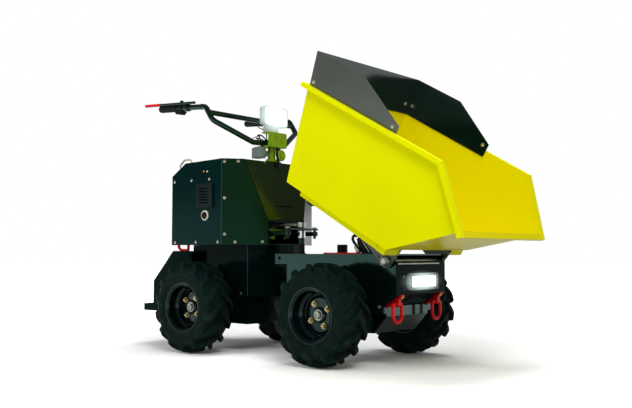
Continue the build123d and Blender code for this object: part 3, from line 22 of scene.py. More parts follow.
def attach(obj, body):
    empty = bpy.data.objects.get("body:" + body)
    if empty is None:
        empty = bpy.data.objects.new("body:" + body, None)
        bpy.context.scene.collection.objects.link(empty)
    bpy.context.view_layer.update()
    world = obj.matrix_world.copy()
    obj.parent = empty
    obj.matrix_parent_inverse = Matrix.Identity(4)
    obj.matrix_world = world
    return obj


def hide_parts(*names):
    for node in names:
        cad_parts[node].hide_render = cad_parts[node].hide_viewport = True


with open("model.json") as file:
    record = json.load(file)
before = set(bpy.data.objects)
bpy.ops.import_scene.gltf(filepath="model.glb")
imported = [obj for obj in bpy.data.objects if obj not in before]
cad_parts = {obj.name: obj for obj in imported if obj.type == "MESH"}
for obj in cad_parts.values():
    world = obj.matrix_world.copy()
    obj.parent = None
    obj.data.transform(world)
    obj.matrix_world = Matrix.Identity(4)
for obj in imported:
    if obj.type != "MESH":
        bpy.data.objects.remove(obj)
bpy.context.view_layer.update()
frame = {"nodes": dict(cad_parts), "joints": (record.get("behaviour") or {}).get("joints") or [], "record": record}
LOG = logging.getLogger("dumper")

Array = np.ndarray
Triple = tuple[float, float, float]
Shape = tuple[Array, Sequence]
Socket = bpy.types.NodeSocket
Feed = Socket | float | tuple

MM = 0.001
SHARP = math.radians(35.0)
HANDS = (-1.0, 1.0)
AHEAD, BACK = (1.0, 0.0, 0.0), (-1.0, 0.0, 0.0)
RIGHT, LEFT, UP = (0.0, -1.0, 0.0), (0.0, 1.0, 0.0), (0.0, 0.0, 1.0)
OUTWARD = np.array([RIGHT, LEFT])
NOSE_OUT = (0.979, 0.0, 0.204)
SKIP_TILT = math.radians(30.0)
POLE = 0.01  # radius at which a turned shape ends on its axis
STEEP = 0.9  # upright share of a direction past which it takes the x axis for reference


# ---------------------------------------------------------------- places taken from the frame
def joint_place(name: str) -> Array:
    """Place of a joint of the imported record, in metres."""
    return np.array(next(j["pos_m"] for j in frame["joints"] if j["name"] == name))


TILT_PIN = joint_place("skip_tilt")
AXLE_X = float(joint_place("rear_left_spin")[0])


def at(places: Sequence) -> Array:
    """Places in the frame's metres, from millimetres ahead of the rear axle, left and up."""
    return (np.asarray(places, float) + [AXLE_X / MM, 0.0, 0.0]) * MM


def pair(x: float, y: float, z: float) -> Array:
    """A place on the right and its mirror on the left, in the frame's metres."""
    return at([(x, -y, z), (x, y, z)])


def on_skip(points: Sequence) -> Array:
    """Turns points in the skip's own millimetres into the frame.

    The skip's x runs forward along its rim and its z up from the tilt pins; both turn by the tip angle
    about the pins.

    Args:
        points: (..., 3) along, across and up.

    Returns:
        The same points in the frame, in metres.
    """
    p = np.asarray(points, float) * MM
    c, s = math.cos(SKIP_TILT), math.sin(SKIP_TILT)
    x = TILT_PIN[0] + p[..., 0] * c + p[..., 2] * s
    z = TILT_PIN[2] - p[..., 0] * s + p[..., 2] * c
    return np.stack([x, p[..., 1], z], -1)


# ---------------------------------------------------------------- finishes
class Graph:
    """Short calls that add nodes to one node tree and join them."""

    def __init__(self, tree: bpy.types.NodeTree) -> None:
        """Keeps the tree."""
        self.tree = tree

    @cached_property
    def place(self) -> Socket:
        """Object coordinates."""
        return self.node("TexCoord").outputs["Object"]

    def fill(self, node: bpy.types.Node, inputs: dict[str | int, Feed]) -> bpy.types.Node:
        """Sets or links a node's inputs.

        Args:
            node: The node.
            inputs: A socket, a number or an RGB or XYZ tuple for each input.

        Returns:
            The same node.
        """
        for key, value in inputs.items():
            if isinstance(value, Socket):
                self.tree.links.new(value, node.inputs[key])
            elif node.inputs[key].type == "RGBA":
                node.inputs[key].default_value = (*value, 1.0)
            else:
                node.inputs[key].default_value = value
        return node

    def node(self, kind: str, inputs: dict[str | int, Feed] | None = None, **options: str) -> bpy.types.Node:
        """Adds a node.

        Args:
            kind: Its type, less the ShaderNode in front.
            inputs: What its inputs get, as in fill.
            options: Its own settings, such as the operation.

        Returns:
            The node.
        """
        node = self.tree.nodes.new("ShaderNode" + kind)
        for key, value in options.items():
            setattr(node, key, value)
        return self.fill(node, inputs or {})

    def math(self, operation: str, *values: Feed) -> Socket:
        """Sum, product or other operation on numbers."""
        return self.node("Math", dict(enumerate(values)), operation=operation).outputs[0]

    def vector(self, operation: str, *values: Feed) -> Socket:
        """Operation on vectors; a length or a dot product comes out as a number."""
        node = self.node("VectorMath", dict(enumerate(values)), operation=operation)
        return node.outputs["Value" if operation in ("LENGTH", "DOT_PRODUCT") else "Vector"]

    def split(self, vector: Socket) -> list[Socket]:
        """The three components of a vector."""
        return list(self.node("SeparateXYZ", {0: vector}).outputs)

    def noise(self, scale: float, detail: float) -> Socket:
        """Noise on Object coordinates."""
        return self.node("TexNoise", {"Vector": self.place, "Scale": scale, "Detail": detail}).outputs["Fac"]

    def cells(self, scale: float, inputs: dict[str | int, Feed] | None = None, **options: str) -> Socket:
        """Distance in a cell pattern on Object coordinates."""
        known = {"Vector": self.place, "Scale": scale} | (inputs or {})
        return self.node("TexVoronoi", known, **options).outputs["Distance"]

    def spread(
        self, value: Socket, start: float, stop: float, first: float = 0.0, last: float = 1.0,
        smooth: bool = True,
    ) -> Socket:
        """Maps a value from one range to another.

        Args:
            value: The value.
            start: Where the range begins.
            stop: Where it ends.
            first: Result at its beginning.
            last: Result at its end.
            smooth: Whether it follows a smooth step instead of a straight line.

        Returns:
            The result.
        """
        ends = {"Value": value, "From Min": start, "From Max": stop, "To Min": first, "To Max": last}
        kind = "SMOOTHSTEP" if smooth else "LINEAR"
        return self.node("MapRange", ends, interpolation_type=kind).outputs["Result"]

    def mixed(self, share: Socket, first: Feed, second: Feed, kind: str = "RGBA") -> Socket:
        """Mixes two colours, or two numbers if the kind is FLOAT."""
        return self.node("Mix", {"Factor": share, "A": first, "B": second}, data_type=kind).outputs["Result"]


class Grain(Enum):
    """The fine surface of a finish."""

    POWDER = "powder coat"
    GLOSS = "sprayed gloss"
    RUBBER = "moulded rubber"
    PLATED = "zinc plate"
    PLASTIC = "moulded plastic"


@dataclass(frozen=True)
class PaintedGlow:
    """A painted glow on a surface close to a lit lamp: emission in its paint, standing in for the lamp's light and
    flare.

    Attributes:
        centre: Middle of the shine.
        reach: Half sizes of the ellipsoid that it fades out in, in metres.
        strength: Emission at the middle.
        core: Share of the ellipsoid that shines in full.
        tone: Colour of the emission.
    """

    centre: Triple
    reach: Triple
    strength: float
    core: float = 0.25
    tone: Triple = (0.80, 1.0, 0.94)


@dataclass(frozen=True)
class Finish:
    """One procedural material.

    Attributes:
        name: The material's name.
        colour: Main colour, linear RGB.
        shade: Colour of the broad, soft variation.
        grain: Kind of fine surface.
        rough: Roughness at the smooth and the dull patches.
        metal: Metallic value.
        gloss: Specular level, 0.5 for plain paint.
        tint: Colour of the gloss.
        broad: Waves of the broad variation per metre.
        fine: Waves of the fine grain per metre.
        bump: Depth of the fine grain, in metres.
        dust: How much pale dust gathers near the ground.
        glow: Painted glow of a lamp near by, as emission in this paint.
    """

    name: str
    colour: Triple
    shade: Triple
    grain: Grain = Grain.POWDER
    rough: tuple[float, float] = (0.35, 0.5)
    metal: float = 0.0
    gloss: float = 0.5
    tint: Triple = (1.0, 1.0, 1.0)
    broad: float = 4.0
    fine: float = 900.0
    bump: float = 0.00002
    dust: float = 0.0
    glow: PaintedGlow | None = None

    MOTTLE = (0.35, 0.65)  # noise between which the main colour gives way to the shade
    WIPE = (9.0, 0.35)  # wipe marks for each broad wave, and their share in the gloss
    SPECK = (180.0, 1.5, 0.25)  # specks per metre, how much paler than the shade, and how strong
    DUST = (26.0, 0.42, 0.15)  # dust spots per metre, height of the tyres in metres, and share left there
    DUST_TONE = (0.10, 0.11, 0.085)

    def paint(self, graph: Graph, bsdf: bpy.types.Node) -> None:
        """Fills in the shader: mottled colour, marks, dust, rubbed gloss, painted lamp glow and fine relief.

        Args:
            graph: The material's nodes.
            bsdf: Its shader.
        """
        broad = graph.noise(self.broad, 3.0)
        colour = self._marked(graph, graph.mixed(graph.spread(broad, *self.MOTTLE), self.colour, self.shade))
        if self.dust > 0.0:
            colour = self._dusted(graph, colour)
        finer, share = self.WIPE
        rest = graph.math("MULTIPLY", broad, 1.0 - share)
        rub = graph.math("MULTIPLY_ADD", graph.noise(self.broad * finer, 5.0), share, rest)
        bump = graph.node("Bump", {"Strength": 0.6, "Distance": self.bump, "Height": self._relief(graph)})
        graph.fill(bsdf, {
            "Base Color": colour,
            "Roughness": graph.spread(rub, 0.0, 1.0, *self.rough, smooth=False),
            "Metallic": self.metal,
            "Specular IOR Level": self.gloss,
            "Specular Tint": self.tint,
            "Normal": bump.outputs["Normal"],
        })
        # painted glow: emission in the paint of a surface that is no lamp, standing in for a lamp's light
        if self.glow is not None:
            graph.fill(bsdf, {"Emission Color": self.glow.tone, "Emission Strength": self._painted_glow(graph)})

    def _relief(self, graph: Graph) -> Socket:
        """Height of the fine grain: small cells on plastic and rubber, orange peel on the rest."""
        cellular = self.grain in (Grain.PLASTIC, Grain.RUBBER)
        return graph.cells(self.fine) if cellular else graph.noise(self.fine, 2.0)

    def _marked(self, graph: Graph, colour: Socket) -> Socket:
        """Adds the finish's own marks to the colour, which are fine speckle on a plain one.

        Args:
            graph: The material's nodes.
            colour: The colour so far.

        Returns:
            The marked colour.
        """
        scale, paler, strength = self.SPECK
        speck = graph.spread(graph.noise(scale, 2.0), 0.62, 0.74, 0.0, strength)
        return graph.mixed(speck, colour, tuple(paler * c for c in self.shade))

    def _painted_glow(self, graph: Graph) -> Socket:
        """Painted glow: emission that falls off smoothly from the lamp's middle to the ellipsoid's surface.

        Args:
            graph: The material's nodes.

        Returns:
            Its strength.
        """
        offset = graph.vector("SUBTRACT", graph.place, tuple(at(self.glow.centre).tolist()))
        reached = graph.vector("LENGTH", graph.vector("DIVIDE", offset, self.glow.reach))
        fall = graph.spread(reached, self.glow.core, 1.0, 1.0, 0.0)
        return graph.math("MULTIPLY", fall, self.glow.strength)

    def _dusted(self, graph: Graph, colour: Socket) -> Socket:
        """Lays a film of dust in spots, thinner from the ground up to the tyres' tops.

        Args:
            graph: The material's nodes.
            colour: The colour so far.

        Returns:
            The dusty colour.
        """
        scale, top, left = self.DUST
        height = graph.spread(graph.split(graph.place)[2], 0.0, top, 1.0, left)
        spots = graph.spread(graph.noise(scale, 6.0), 0.42, 0.75)
        film = graph.math("MULTIPLY", graph.math("MULTIPLY", height, spots), self.dust)
        return graph.mixed(film, colour, self.DUST_TONE)


@dataclass(frozen=True)
class SkipPaint(Finish):
    """The skip's paint, with painted shade on the faces that hold the load: they take another, darker colour that
    stands in for the shade and bounce light inside.

    Attributes:
        inside: Colour of the inner faces, painted shade.
        walls: Inner faces as (along, across, up, level): a point is inside where the first three, times
            the skip's own metres, plus the last stay above zero. Across counts from the middle outward.
        blend: Depth over which the colours change, in metres.
    """

    # painted shade: inner faces darker and oranger, for the shade and yellow bounce light inside the skip
    inside: Triple = (0.75, 0.665, 0.0)
    walls: tuple = ((-0.03, -1.0, 0.09, 0.29601), (0.0, 0.0, 1.0, -0.0775), (1.0, 0.0, 0.1401, 0.5184))
    blend: float = 0.0008

    def _marked(self, graph: Graph, colour: Socket) -> Socket:
        """Mixes in the inner faces' painted shade where a point lies inside all the walls.

        Args:
            graph: The material's nodes.
            colour: The outer colour.

        Returns:
            The colour with the inside in it.
        """
        c, s = math.cos(SKIP_TILT), math.sin(SKIP_TILT)
        offset = graph.vector("SUBTRACT", graph.place, tuple(TILT_PIN.tolist()))
        x, _, z = graph.split(offset)
        _, y, _ = graph.split(graph.vector("ABSOLUTE", offset))
        spot = graph.node("CombineXYZ", {"X": x, "Y": y, "Z": z}).outputs[0]
        depth = None
        for along, across, up, level in self.walls:
            normal = (along * c + up * s, across, up * c - along * s)
            inner = graph.math("ADD", graph.vector("DOT_PRODUCT", spot, normal), level)
            depth = inner if depth is None else graph.math("MINIMUM", depth, inner)
        return graph.mixed(graph.spread(depth, 0.0, self.blend), colour, self.inside)


@dataclass(frozen=True)
class BoxPaint(Finish):
    """The power box's paint, greener on its two slanted strips, where the green is a painted reflection of the
    yellow skip.

    Attributes:
        slanted: Colour of the strips, a painted reflection of the yellow skip.
        facing: Outward direction of the left strip, seen from above; the right one is its mirror.
        fold: (ahead, left) of the left strip's rear fold.
        skin: Depths under the strip's plane between which the colours change, in metres.
    """

    # painted reflection of the yellow skip on both slanted strips
    slanted: Triple = (0.0055, 0.0190, 0.0080)
    facing: tuple[float, float] = (0.862, 0.507)
    fold: tuple[float, float] = (181.0, 313.0)
    skin: tuple[float, float] = (0.0012, 0.0004)

    def _marked(self, graph: Graph, colour: Socket) -> Socket:
        """Mixes in the strips' painted reflection within a millimetre of their planes.

        Args:
            graph: The material's nodes.
            colour: The colour of the other faces.

        Returns:
            The colour with the strips in it.
        """
        level = float(at((*self.fold, 0.0))[:2] @ self.facing)
        x, y, _ = graph.split(graph.vector("MULTIPLY", graph.place, (*self.facing, 0.0)))
        far = graph.math("ADD", x, graph.math("ABSOLUTE", y))
        return graph.mixed(graph.spread(far, *(level - depth for depth in self.skin)), colour, self.slanted)


@dataclass(frozen=True)
class Plated(Finish):
    """Zinc plate with the cloudy, slightly coloured film that its bath leaves.

    Attributes:
        cloud: Colour of the film.
    """

    cloud: Triple = (0.55, 0.57, 0.40)

    def _marked(self, graph: Graph, colour: Socket) -> Socket:
        """Mixes in the film's colour in small clouds."""
        return graph.mixed(graph.spread(graph.noise(55.0, 6.0), 0.42, 0.68), colour, self.cloud)


@dataclass(frozen=True)
class Lens:
    """A lit lamp lens: pale glass over bright cells.

    Attributes:
        name: The material's name.
        strength: How brightly a cell's middle shines.
        edge: The share of that at the cells' edges.
        cell: Cells per metre.
        glass: Colour of the glass.
        light: Colour of its light.
    """

    name: str
    strength: float
    edge: float = 0.62
    cell: float = 60.0
    glass: Triple = (0.85, 0.88, 0.9)
    light: Triple = (0.97, 1.0, 0.99)

    def paint(self, graph: Graph, bsdf: bpy.types.Node) -> None:
        """Fills in the shader.

        Args:
            graph: The material's nodes.
            bsdf: Its shader.
        """
        cells = graph.cells(self.cell, {"Randomness": 0.0}, feature="DISTANCE_TO_EDGE")
        shine = graph.spread(cells, 0.0, 0.25, self.strength * self.edge, self.strength)
        graph.fill(bsdf, {
            "Base Color": self.glass, "Roughness": 0.15,
            "Emission Color": self.light, "Emission Strength": shine,
        })


def material_of(finish: Finish | Lens) -> bpy.types.Material:
    """Builds a finish's material, or returns the one already built.

    Args:
        finish: The finish.

    Returns:
        Its node material.
    """
    known = bpy.data.materials.get(finish.name)
    if known is not None:
        return known
    material = bpy.data.materials.new(finish.name)
    material.use_nodes = True
    finish.paint(Graph(material.node_tree), material.node_tree.nodes["Principled BSDF"])
    return material


DARK = (0.45, 1.0, 0.85)
CHASSIS = Finish(
    "chassis paint", (0.0008, 0.0036, 0.0034), (0.0011, 0.0050, 0.0046), rough=(0.08, 0.16), gloss=0.65,
    tint=DARK, dust=0.02,
)
REAR_PAINT = Finish(
    "rear frame paint", (0.0004, 0.0042, 0.0038), (0.0006, 0.0055, 0.0050), rough=(0.10, 0.18), gloss=0.05,
    tint=DARK, dust=0.02,
)
SIDE_GREY = Finish(
    "cradle paint", (0.070, 0.082, 0.078), (0.085, 0.098, 0.092), rough=(0.22, 0.36), gloss=0.4
)
# box paint with the skip's painted reflection on its slanted strips
BOX_PAINT = BoxPaint(
    "box paint", (0.0004, 0.0105, 0.0102), (0.0006, 0.0125, 0.0124), rough=(0.08, 0.16), gloss=0.12,
    tint=(0.14, 1.0, 0.80),
)
NOSE = Finish(
    "nose paint", (0.0030, 0.0085, 0.0026), (0.0040, 0.0105, 0.0034), rough=(0.07, 0.14), gloss=0.45,
    tint=(0.75, 1.0, 0.30),
)
YELLOW = SkipPaint(
    "skip yellow", (0.79, 0.80, 0.0), (0.765, 0.77, 0.0), Grain.GLOSS, (0.26, 0.38), gloss=0.05,
    tint=(1.0, 0.98, 0.02), broad=3.0,
)
# inside: painted shade, the extension's inner faces far darker than its outer paint
SHEET_GREY = SkipPaint(
    "extension paint", (0.052, 0.060, 0.053), (0.064, 0.070, 0.062), rough=(0.08, 0.18), gloss=0.7,
    tint=(0.9, 1.0, 0.93), inside=(0.0010, 0.0085, 0.0055),
    walls=((-0.03, -1.0, 0.09, 0.29271), (1.0, 0.0, 0.1401, 0.51455)),
)
TYRE = Finish(
    "tyre rubber", (0.0016, 0.0068, 0.0058), (0.0024, 0.0090, 0.0078), Grain.RUBBER, (0.45, 0.62),
    gloss=0.12, tint=(0.5, 1.0, 0.9), broad=9.0, bump=0.0001, dust=0.10,
)
RIM = Finish(
    "rim paint", (0.0006, 0.0026, 0.0026), (0.0009, 0.0034, 0.0034), Grain.GLOSS, (0.10, 0.18), gloss=0.4,
    tint=(0.6, 1.0, 0.95),
)
ZINC = Plated(
    "zinc plate", (0.66, 0.68, 0.62), (0.55, 0.57, 0.47), Grain.PLATED, (0.24, 0.40), metal=0.9, broad=40.0
)
BRASS = Plated(
    "yellow zinc", (0.85, 0.58, 0.12), (0.72, 0.46, 0.08), Grain.PLATED, (0.25, 0.4), metal=0.85, broad=60.0,
    cloud=(0.80, 0.62, 0.22),
)
PASSIVATED = Plated(
    "passivated zinc", (0.20, 0.36, 0.005), (0.15, 0.28, 0.004), Grain.PLATED, (0.28, 0.42), metal=0.35,
    gloss=0.4, tint=(0.7, 1.0, 0.2), broad=30.0, cloud=(0.24, 0.33, 0.03),
)
RED = Finish(
    "red paint", (0.72, 0.004, 0.006), (0.60, 0.003, 0.005), Grain.GLOSS, (0.18, 0.28), gloss=0.5,
    tint=(1.0, 0.25, 0.25),
)
BLACK_PLASTIC = Finish(
    "black plastic", (0.0012, 0.0040, 0.0040), (0.0018, 0.0055, 0.0055), Grain.PLASTIC, (0.34, 0.46),
    gloss=0.25,
)
GREY_PLASTIC = Finish(
    "grey plastic", (0.150, 0.195, 0.185), (0.125, 0.165, 0.158), Grain.PLASTIC, (0.35, 0.5), gloss=0.4
)
RUBBER = Finish(
    "grip rubber", (0.0016, 0.0060, 0.0055), (0.0024, 0.0080, 0.0072), Grain.RUBBER, (0.5, 0.65), gloss=0.3,
    bump=0.00006,
)
BAR = Finish(
    "bar paint", (0.0010, 0.0060, 0.0040), (0.0015, 0.0080, 0.0052), rough=(0.16, 0.28), gloss=0.55,
    tint=(0.5, 1.0, 0.7),
)
CHROME = Finish(
    "ram rod chrome", (0.75, 0.76, 0.77), (0.68, 0.69, 0.7), Grain.PLATED, (0.08, 0.16), metal=1.0,
    broad=30.0,
)
BEIGE = Finish("handle beige", (0.50, 0.45, 0.33), (0.44, 0.39, 0.28), Grain.PLASTIC, (0.35, 0.5))
AXLE = Finish(
    "axle black", (0.0015, 0.0050, 0.0048), (0.0025, 0.0070, 0.0066), rough=(0.35, 0.5), gloss=0.3,
    dust=0.12,
)
STEP = Finish(
    "step paint", (0.0050, 0.0140, 0.0120), (0.0070, 0.0180, 0.0155), rough=(0.55, 0.7), gloss=0.0,
    dust=0.05,
)
CABLE = Finish(
    "cable jacket", (0.002, 0.0035, 0.0035), (0.003, 0.005, 0.005), Grain.PLASTIC, (0.4, 0.5), gloss=0.3
)
AMBER = Finish("amber lens", (0.75, 0.24, 0.02), (0.6, 0.18, 0.02), Grain.GLOSS, (0.15, 0.2))
CREAM = Finish("cream plastic", (0.70, 0.66, 0.54), (0.62, 0.58, 0.46), Grain.PLASTIC, (0.3, 0.42))
# painted highlight: the rim's edge far paler than the rim
RIM_EDGE_HIGHLIGHT = Finish("rim edge highlight", (0.010, 0.018, 0.018), (0.022, 0.032, 0.032), rough=(0.25, 0.4), gloss=0.5)
# painted highlight: the folds' paint far paler than the box paint they belong to
FOLD_HIGHLIGHT = Finish(
    "fold highlight paint", (0.010, 0.050, 0.045), (0.016, 0.065, 0.060), rough=(0.15, 0.25), gloss=0.4, tint=DARK
)
DARK_ZINC = Plated(
    "dark zinc", (0.060, 0.075, 0.070), (0.035, 0.045, 0.042), Grain.PLATED, (0.25, 0.4), metal=0.8
)
DULL_ZINC = Plated("dull zinc", (0.34, 0.36, 0.33), (0.24, 0.26, 0.23), Grain.PLATED, (0.22, 0.38), metal=0.9)
VENT_GREY = Finish(
    "vent cover paint", (0.0022, 0.0075, 0.0080), (0.0030, 0.0095, 0.0100), rough=(0.25, 0.4), gloss=0.15
)
# painted glow: the work lamp's case emits round its lens, standing in for the lamp's flare
LAMP_CASE = Finish(
    "work lamp case", (0.30, 0.36, 0.34), (0.24, 0.29, 0.275), rough=(0.3, 0.42),
    glow=PaintedGlow((226, 0, 1114), (0.060, 0.135, 0.100), 0.95),
)
# painted glow: the front panel and the front lamp's case emit round the front lamp, standing in for its light and
# flare
PANEL = Finish(
    "front panel paint", (0.0008, 0.0075, 0.0072), (0.0012, 0.0095, 0.0090), rough=(0.12, 0.22), gloss=0.03,
    tint=DARK, glow=PaintedGlow((1054, 0, 343), (0.05, 0.170, 0.050), 0.20),
)
PANEL_LAMP = Finish(
    "front lamp case", (0.004, 0.010, 0.010), (0.006, 0.013, 0.013), rough=(0.3, 0.4),
    glow=PaintedGlow((1058, 0, 343), (0.05, 0.150, 0.058), 0.85),
)
LIT = Lens("lamp lens lit", 2.0)

SLOT_FINISH: dict[str, Finish | Lens] = {
    "chassis_paint": CHASSIS, "box_paint": BOX_PAINT, "black_plastic": BLACK_PLASTIC,
    "battery_case": BLACK_PLASTIC, "handle_beige": BEIGE, "red_paint": RED, "axle_black": AXLE,
    "zinc_plate": ZINC, "bar_black": BAR, "grip_rubber": RUBBER, "box_grey": GREY_PLASTIC,
    "lamp_case": LAMP_CASE, "buffer_black": RUBBER, "skip_yellow": YELLOW, "cradle_grey": SIDE_GREY,
    "extension_grey": SHEET_GREY, "ram_black": BLACK_PLASTIC, "rod_chrome": CHROME, "tyre_rubber": TYRE,
    "rim_black": RIM, "lamp_lens": LIT,
}
NODE_FINISH: dict[str, Finish] = {
    "steering_column": PASSIVATED, "horn": PASSIVATED, "front_lamp": PANEL_LAMP, "front_panel": PANEL,
    "rear_platform": STEP, "rear_frame": REAR_PAINT, "nose_cover": NOSE, "side_cover": VENT_GREY,
}


# ---------------------------------------------------------------- surfaces
def make_piece(name: str, shape: Shape, smooth: bool = True) -> bpy.types.Object:
    """Puts arrays of points and faces into a new object at the origin.

    Args:
        name: The piece's name.
        shape: Its points in metres and the point numbers of its faces.
        smooth: Whether it is shaded smooth where faces meet at less than the SHARP angle.

    Returns:
        The new object.
    """
    points, faces = shape
    mesh = bpy.data.meshes.new(name)
    mesh.from_pydata(np.asarray(points, float).tolist(), [], [list(map(int, f)) for f in faces])
    mesh.validate()
    mesh.update()
    piece = bpy.data.objects.new(name, mesh)
    bpy.context.scene.collection.objects.link(piece)
    if smooth:
        mesh.polygons.foreach_set("use_smooth", np.ones(len(mesh.polygons), bool))
        mesh.set_sharp_from_angle(angle=SHARP)
    return piece


def dress(name: str, shape: Shape, finish: Finish | Lens, body: str) -> bpy.types.Object:
    """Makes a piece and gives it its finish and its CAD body.

    Args:
        name: The piece's name.
        shape: Its points and faces.
        finish: Its finish.
        body: The CAD body that it rides on.

    Returns:
        The piece.
    """
    piece = make_piece(name, shape)
    piece.data.materials.append(material_of(finish))
    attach(piece, body)
    LOG.info("%s on %s, %d faces", name, body, len(piece.data.polygons))
    return piece


def dress_all(body: str, pieces: Sequence[tuple[str, Shape, Finish, str]]) -> None:
    """Makes several pieces of one body, each from its name, shape, finish and slot; the slot is not used."""
    for name, shape, finish, slot in pieces:
        dress(name, shape, finish, body)


def grid_faces(rows: int, columns: int, close_rows: bool = False, close_columns: bool = False) -> Array:
    """Quads of a grid of points numbered row by row.

    Args:
        rows: Number of rows of points.
        columns: Points in a row.
        close_rows: Whether the last row joins the first.
        close_columns: Whether each row is a closed ring.

    Returns:
        (m, 4) point numbers.
    """
    r = np.arange(rows if close_rows else rows - 1)
    c = np.arange(columns if close_columns else columns - 1)
    r, c = np.meshgrid(r, c, indexing="ij")
    r2, c2 = (r + 1) % rows, (c + 1) % columns
    quads = np.stack([r * columns + c, r * columns + c2, r2 * columns + c2, r2 * columns + c], -1)
    return quads.reshape(-1, 4)


def capped(rings: Array) -> Shape:
    """Skins a stack of rings and closes its two ends.

    Args:
        rings: (n, m, 3) points, in metres.

    Returns:
        Points and faces.
    """
    rows, sides = rings.shape[:2]
    faces = grid_faces(rows, sides, close_columns=True).tolist()
    faces += [list(range(sides))[::-1], [(rows - 1) * sides + i for i in range(sides)]]
    return rings.reshape(-1, 3), faces


def circle(steps: int) -> tuple[Array, Array]:
    """Cosines and sines of equal angles once round."""
    turn = np.linspace(0.0, 2 * math.pi, steps, endpoint=False)
    return np.cos(turn), np.sin(turn)


def revolve(profile: Sequence, centre: Array, axis: Sequence, steps: int, closed: bool = False) -> Shape:
    """Turns a profile round an axis.

    A point (a, r) of the profile goes to centre + a * axis + r * (cos t, sin t) in the plane across the
    axis, with t going once round.

    Args:
        profile: (n, 2) distances along the axis and from it.
        centre: Point on the axis, in metres.
        axis: Direction of the axis.
        steps: Points round the circle.
        closed: Whether the profile's last point joins its first.

    Returns:
        Points and faces.
    """
    profile = np.asarray(profile, float) * MM
    axis = np.asarray(axis, float) / np.linalg.norm(axis)
    side = np.cross(axis, UP if abs(axis[2]) < STEEP else AHEAD)
    side /= np.linalg.norm(side)
    cos, sin = circle(steps)
    ring = cos[:, None] * side + sin[:, None] * np.cross(axis, side)
    points = centre + profile[:, 0, None, None] * axis + profile[:, 1, None, None] * ring[None]
    return points.reshape(-1, 3), grid_faces(len(profile), steps, closed, close_columns=True)


def tube(path: Array, radius: float | Array, sides: int = 12) -> Shape:
    """Carries a circle along a path, closed with flat ends.

    Each ring lies across the path's direction there; its two side vectors come from that direction and a
    fixed reference.

    Args:
        path: (n, 3) points in metres.
        radius: The tube's radius, one for all or one for each ring.
        sides: Points round each ring.

    Returns:
        Points and faces.
    """
    run = np.gradient(path, axis=0)
    run /= np.linalg.norm(run, axis=1)[:, None]
    reference = np.eye(3)[int(np.argmin(np.abs(run).mean(0)))]
    a = np.cross(run, reference)
    a /= np.linalg.norm(a, axis=1)[:, None]
    b = np.cross(run, a)
    cos, sin = (part[None, :, None] for part in circle(sides))
    radius = np.broadcast_to(np.asarray(radius) * MM, len(path))[:, None, None]
    return capped(path[:, None] + radius * (cos * a[:, None] + sin * b[:, None]))


def wire(points: Sequence, radius: float, sides: int = 12, steps: int = 12) -> Shape:
    """A tube along a rounded path through control points, by Catmull-Rom spans.

    Args:
        points: (n, 3) places that the path passes through.
        radius: The tube's radius.
        sides: Points round each ring.
        steps: Points on each span.

    Returns:
        Points and faces.
    """
    p = at(points)
    p = np.vstack([2 * p[0] - p[1], p, 2 * p[-1] - p[-2]])
    t = np.linspace(0.0, 1.0, steps, endpoint=False)[None, :, None]
    a, b, c, d = (p[i : len(p) - 3 + i, None] for i in range(4))
    spans = 0.5 * (2 * b + (c - a) * t + (2 * a - 5 * b + 4 * c - d) * t**2 + (3 * b - a - 3 * c + d) * t**3)
    return tube(np.vstack([spans.reshape(-1, 3), p[-2]]), radius, sides)


def merge(parts: Sequence[Shape]) -> Shape:
    """Joins several shapes into one.

    Args:
        parts: The shapes.

    Returns:
        Points and faces.
    """
    points, faces, start = [], [], 0
    for p, f in parts:
        points.append(p)
        faces += [[int(i) + start for i in q] for q in f]
        start += len(p)
    return np.vstack(points), faces


def repeated(faces: Sequence, size: int, count: int) -> list:
    """Faces of count alike shapes of size points each, numbered one after the other."""
    return [[i + k * size for i in f] for k in range(count) for f in faces]


class Head(Enum):
    """Kinds of fastener head."""

    HEX = "hexagon"
    DOME = "dome"


def heads(places: Array, normals: Sequence, radius: float, kind: Head, washer: float = 1.3) -> Shape:
    """Fastener heads, all alike, one at each place.

    A head is a stack of rings, each (radius, height, six-sided or not) in shares of the head's radius: a
    washer, then the head's wall and its rounded top. A six-sided ring's radius follows
    cos(30 deg) / cos(t mod 60 deg - 30 deg). Each copy is the stack turned to its normal.

    Args:
        places: (n, 3) seats, in metres.
        normals: Outward direction of each, or one for all.
        radius: Head radius.
        kind: Shape of head.
        washer: Washer radius as a share of the head's.

    Returns:
        Points and faces of all heads.
    """
    rows = {
        Head.HEX: [(washer, 0.0, 0), (washer, 0.16, 0), (1.0, 0.17, 1), (1.0, 0.53, 1), (0.86, 0.65, 0)],
        Head.DOME: [
            (washer, 0.0, 0), (washer, 0.12, 0), (1.0, 0.13, 0), (0.9, 0.36, 0), (0.62, 0.52, 0),
            (0.3, 0.58, 0),
        ],
    }[kind]
    sides = 24
    ring = np.stack(circle(sides), -1)
    sixth = math.pi / 3
    turn = np.linspace(0.0, 2 * math.pi, sides, endpoint=False)
    flat = math.cos(sixth / 2) / np.cos(np.mod(turn, sixth) - sixth / 2)
    stack = np.concatenate([
        np.column_stack([ring * share * (flat[:, None] if six else 1.0), np.full(sides, height)])
        for share, height, six in rows
    ]) * radius * MM
    normals = np.broadcast_to(np.asarray(normals, float), places.shape)
    normals = normals / np.linalg.norm(normals, axis=1)[:, None]
    u = np.cross(np.where(np.abs(normals[:, 2:3]) < STEEP, [UP], [AHEAD]), normals)
    u /= np.linalg.norm(u, axis=1)[:, None]
    basis = np.stack([u, np.cross(normals, u), normals], 1)
    points = places[:, None] + np.einsum("pk,nkd->npd", stack, basis)
    faces = grid_faces(len(rows), sides, close_columns=True).tolist()
    faces.append([len(stack) - sides + i for i in range(sides)])
    return points.reshape(-1, 3), repeated(faces, len(stack), len(places))


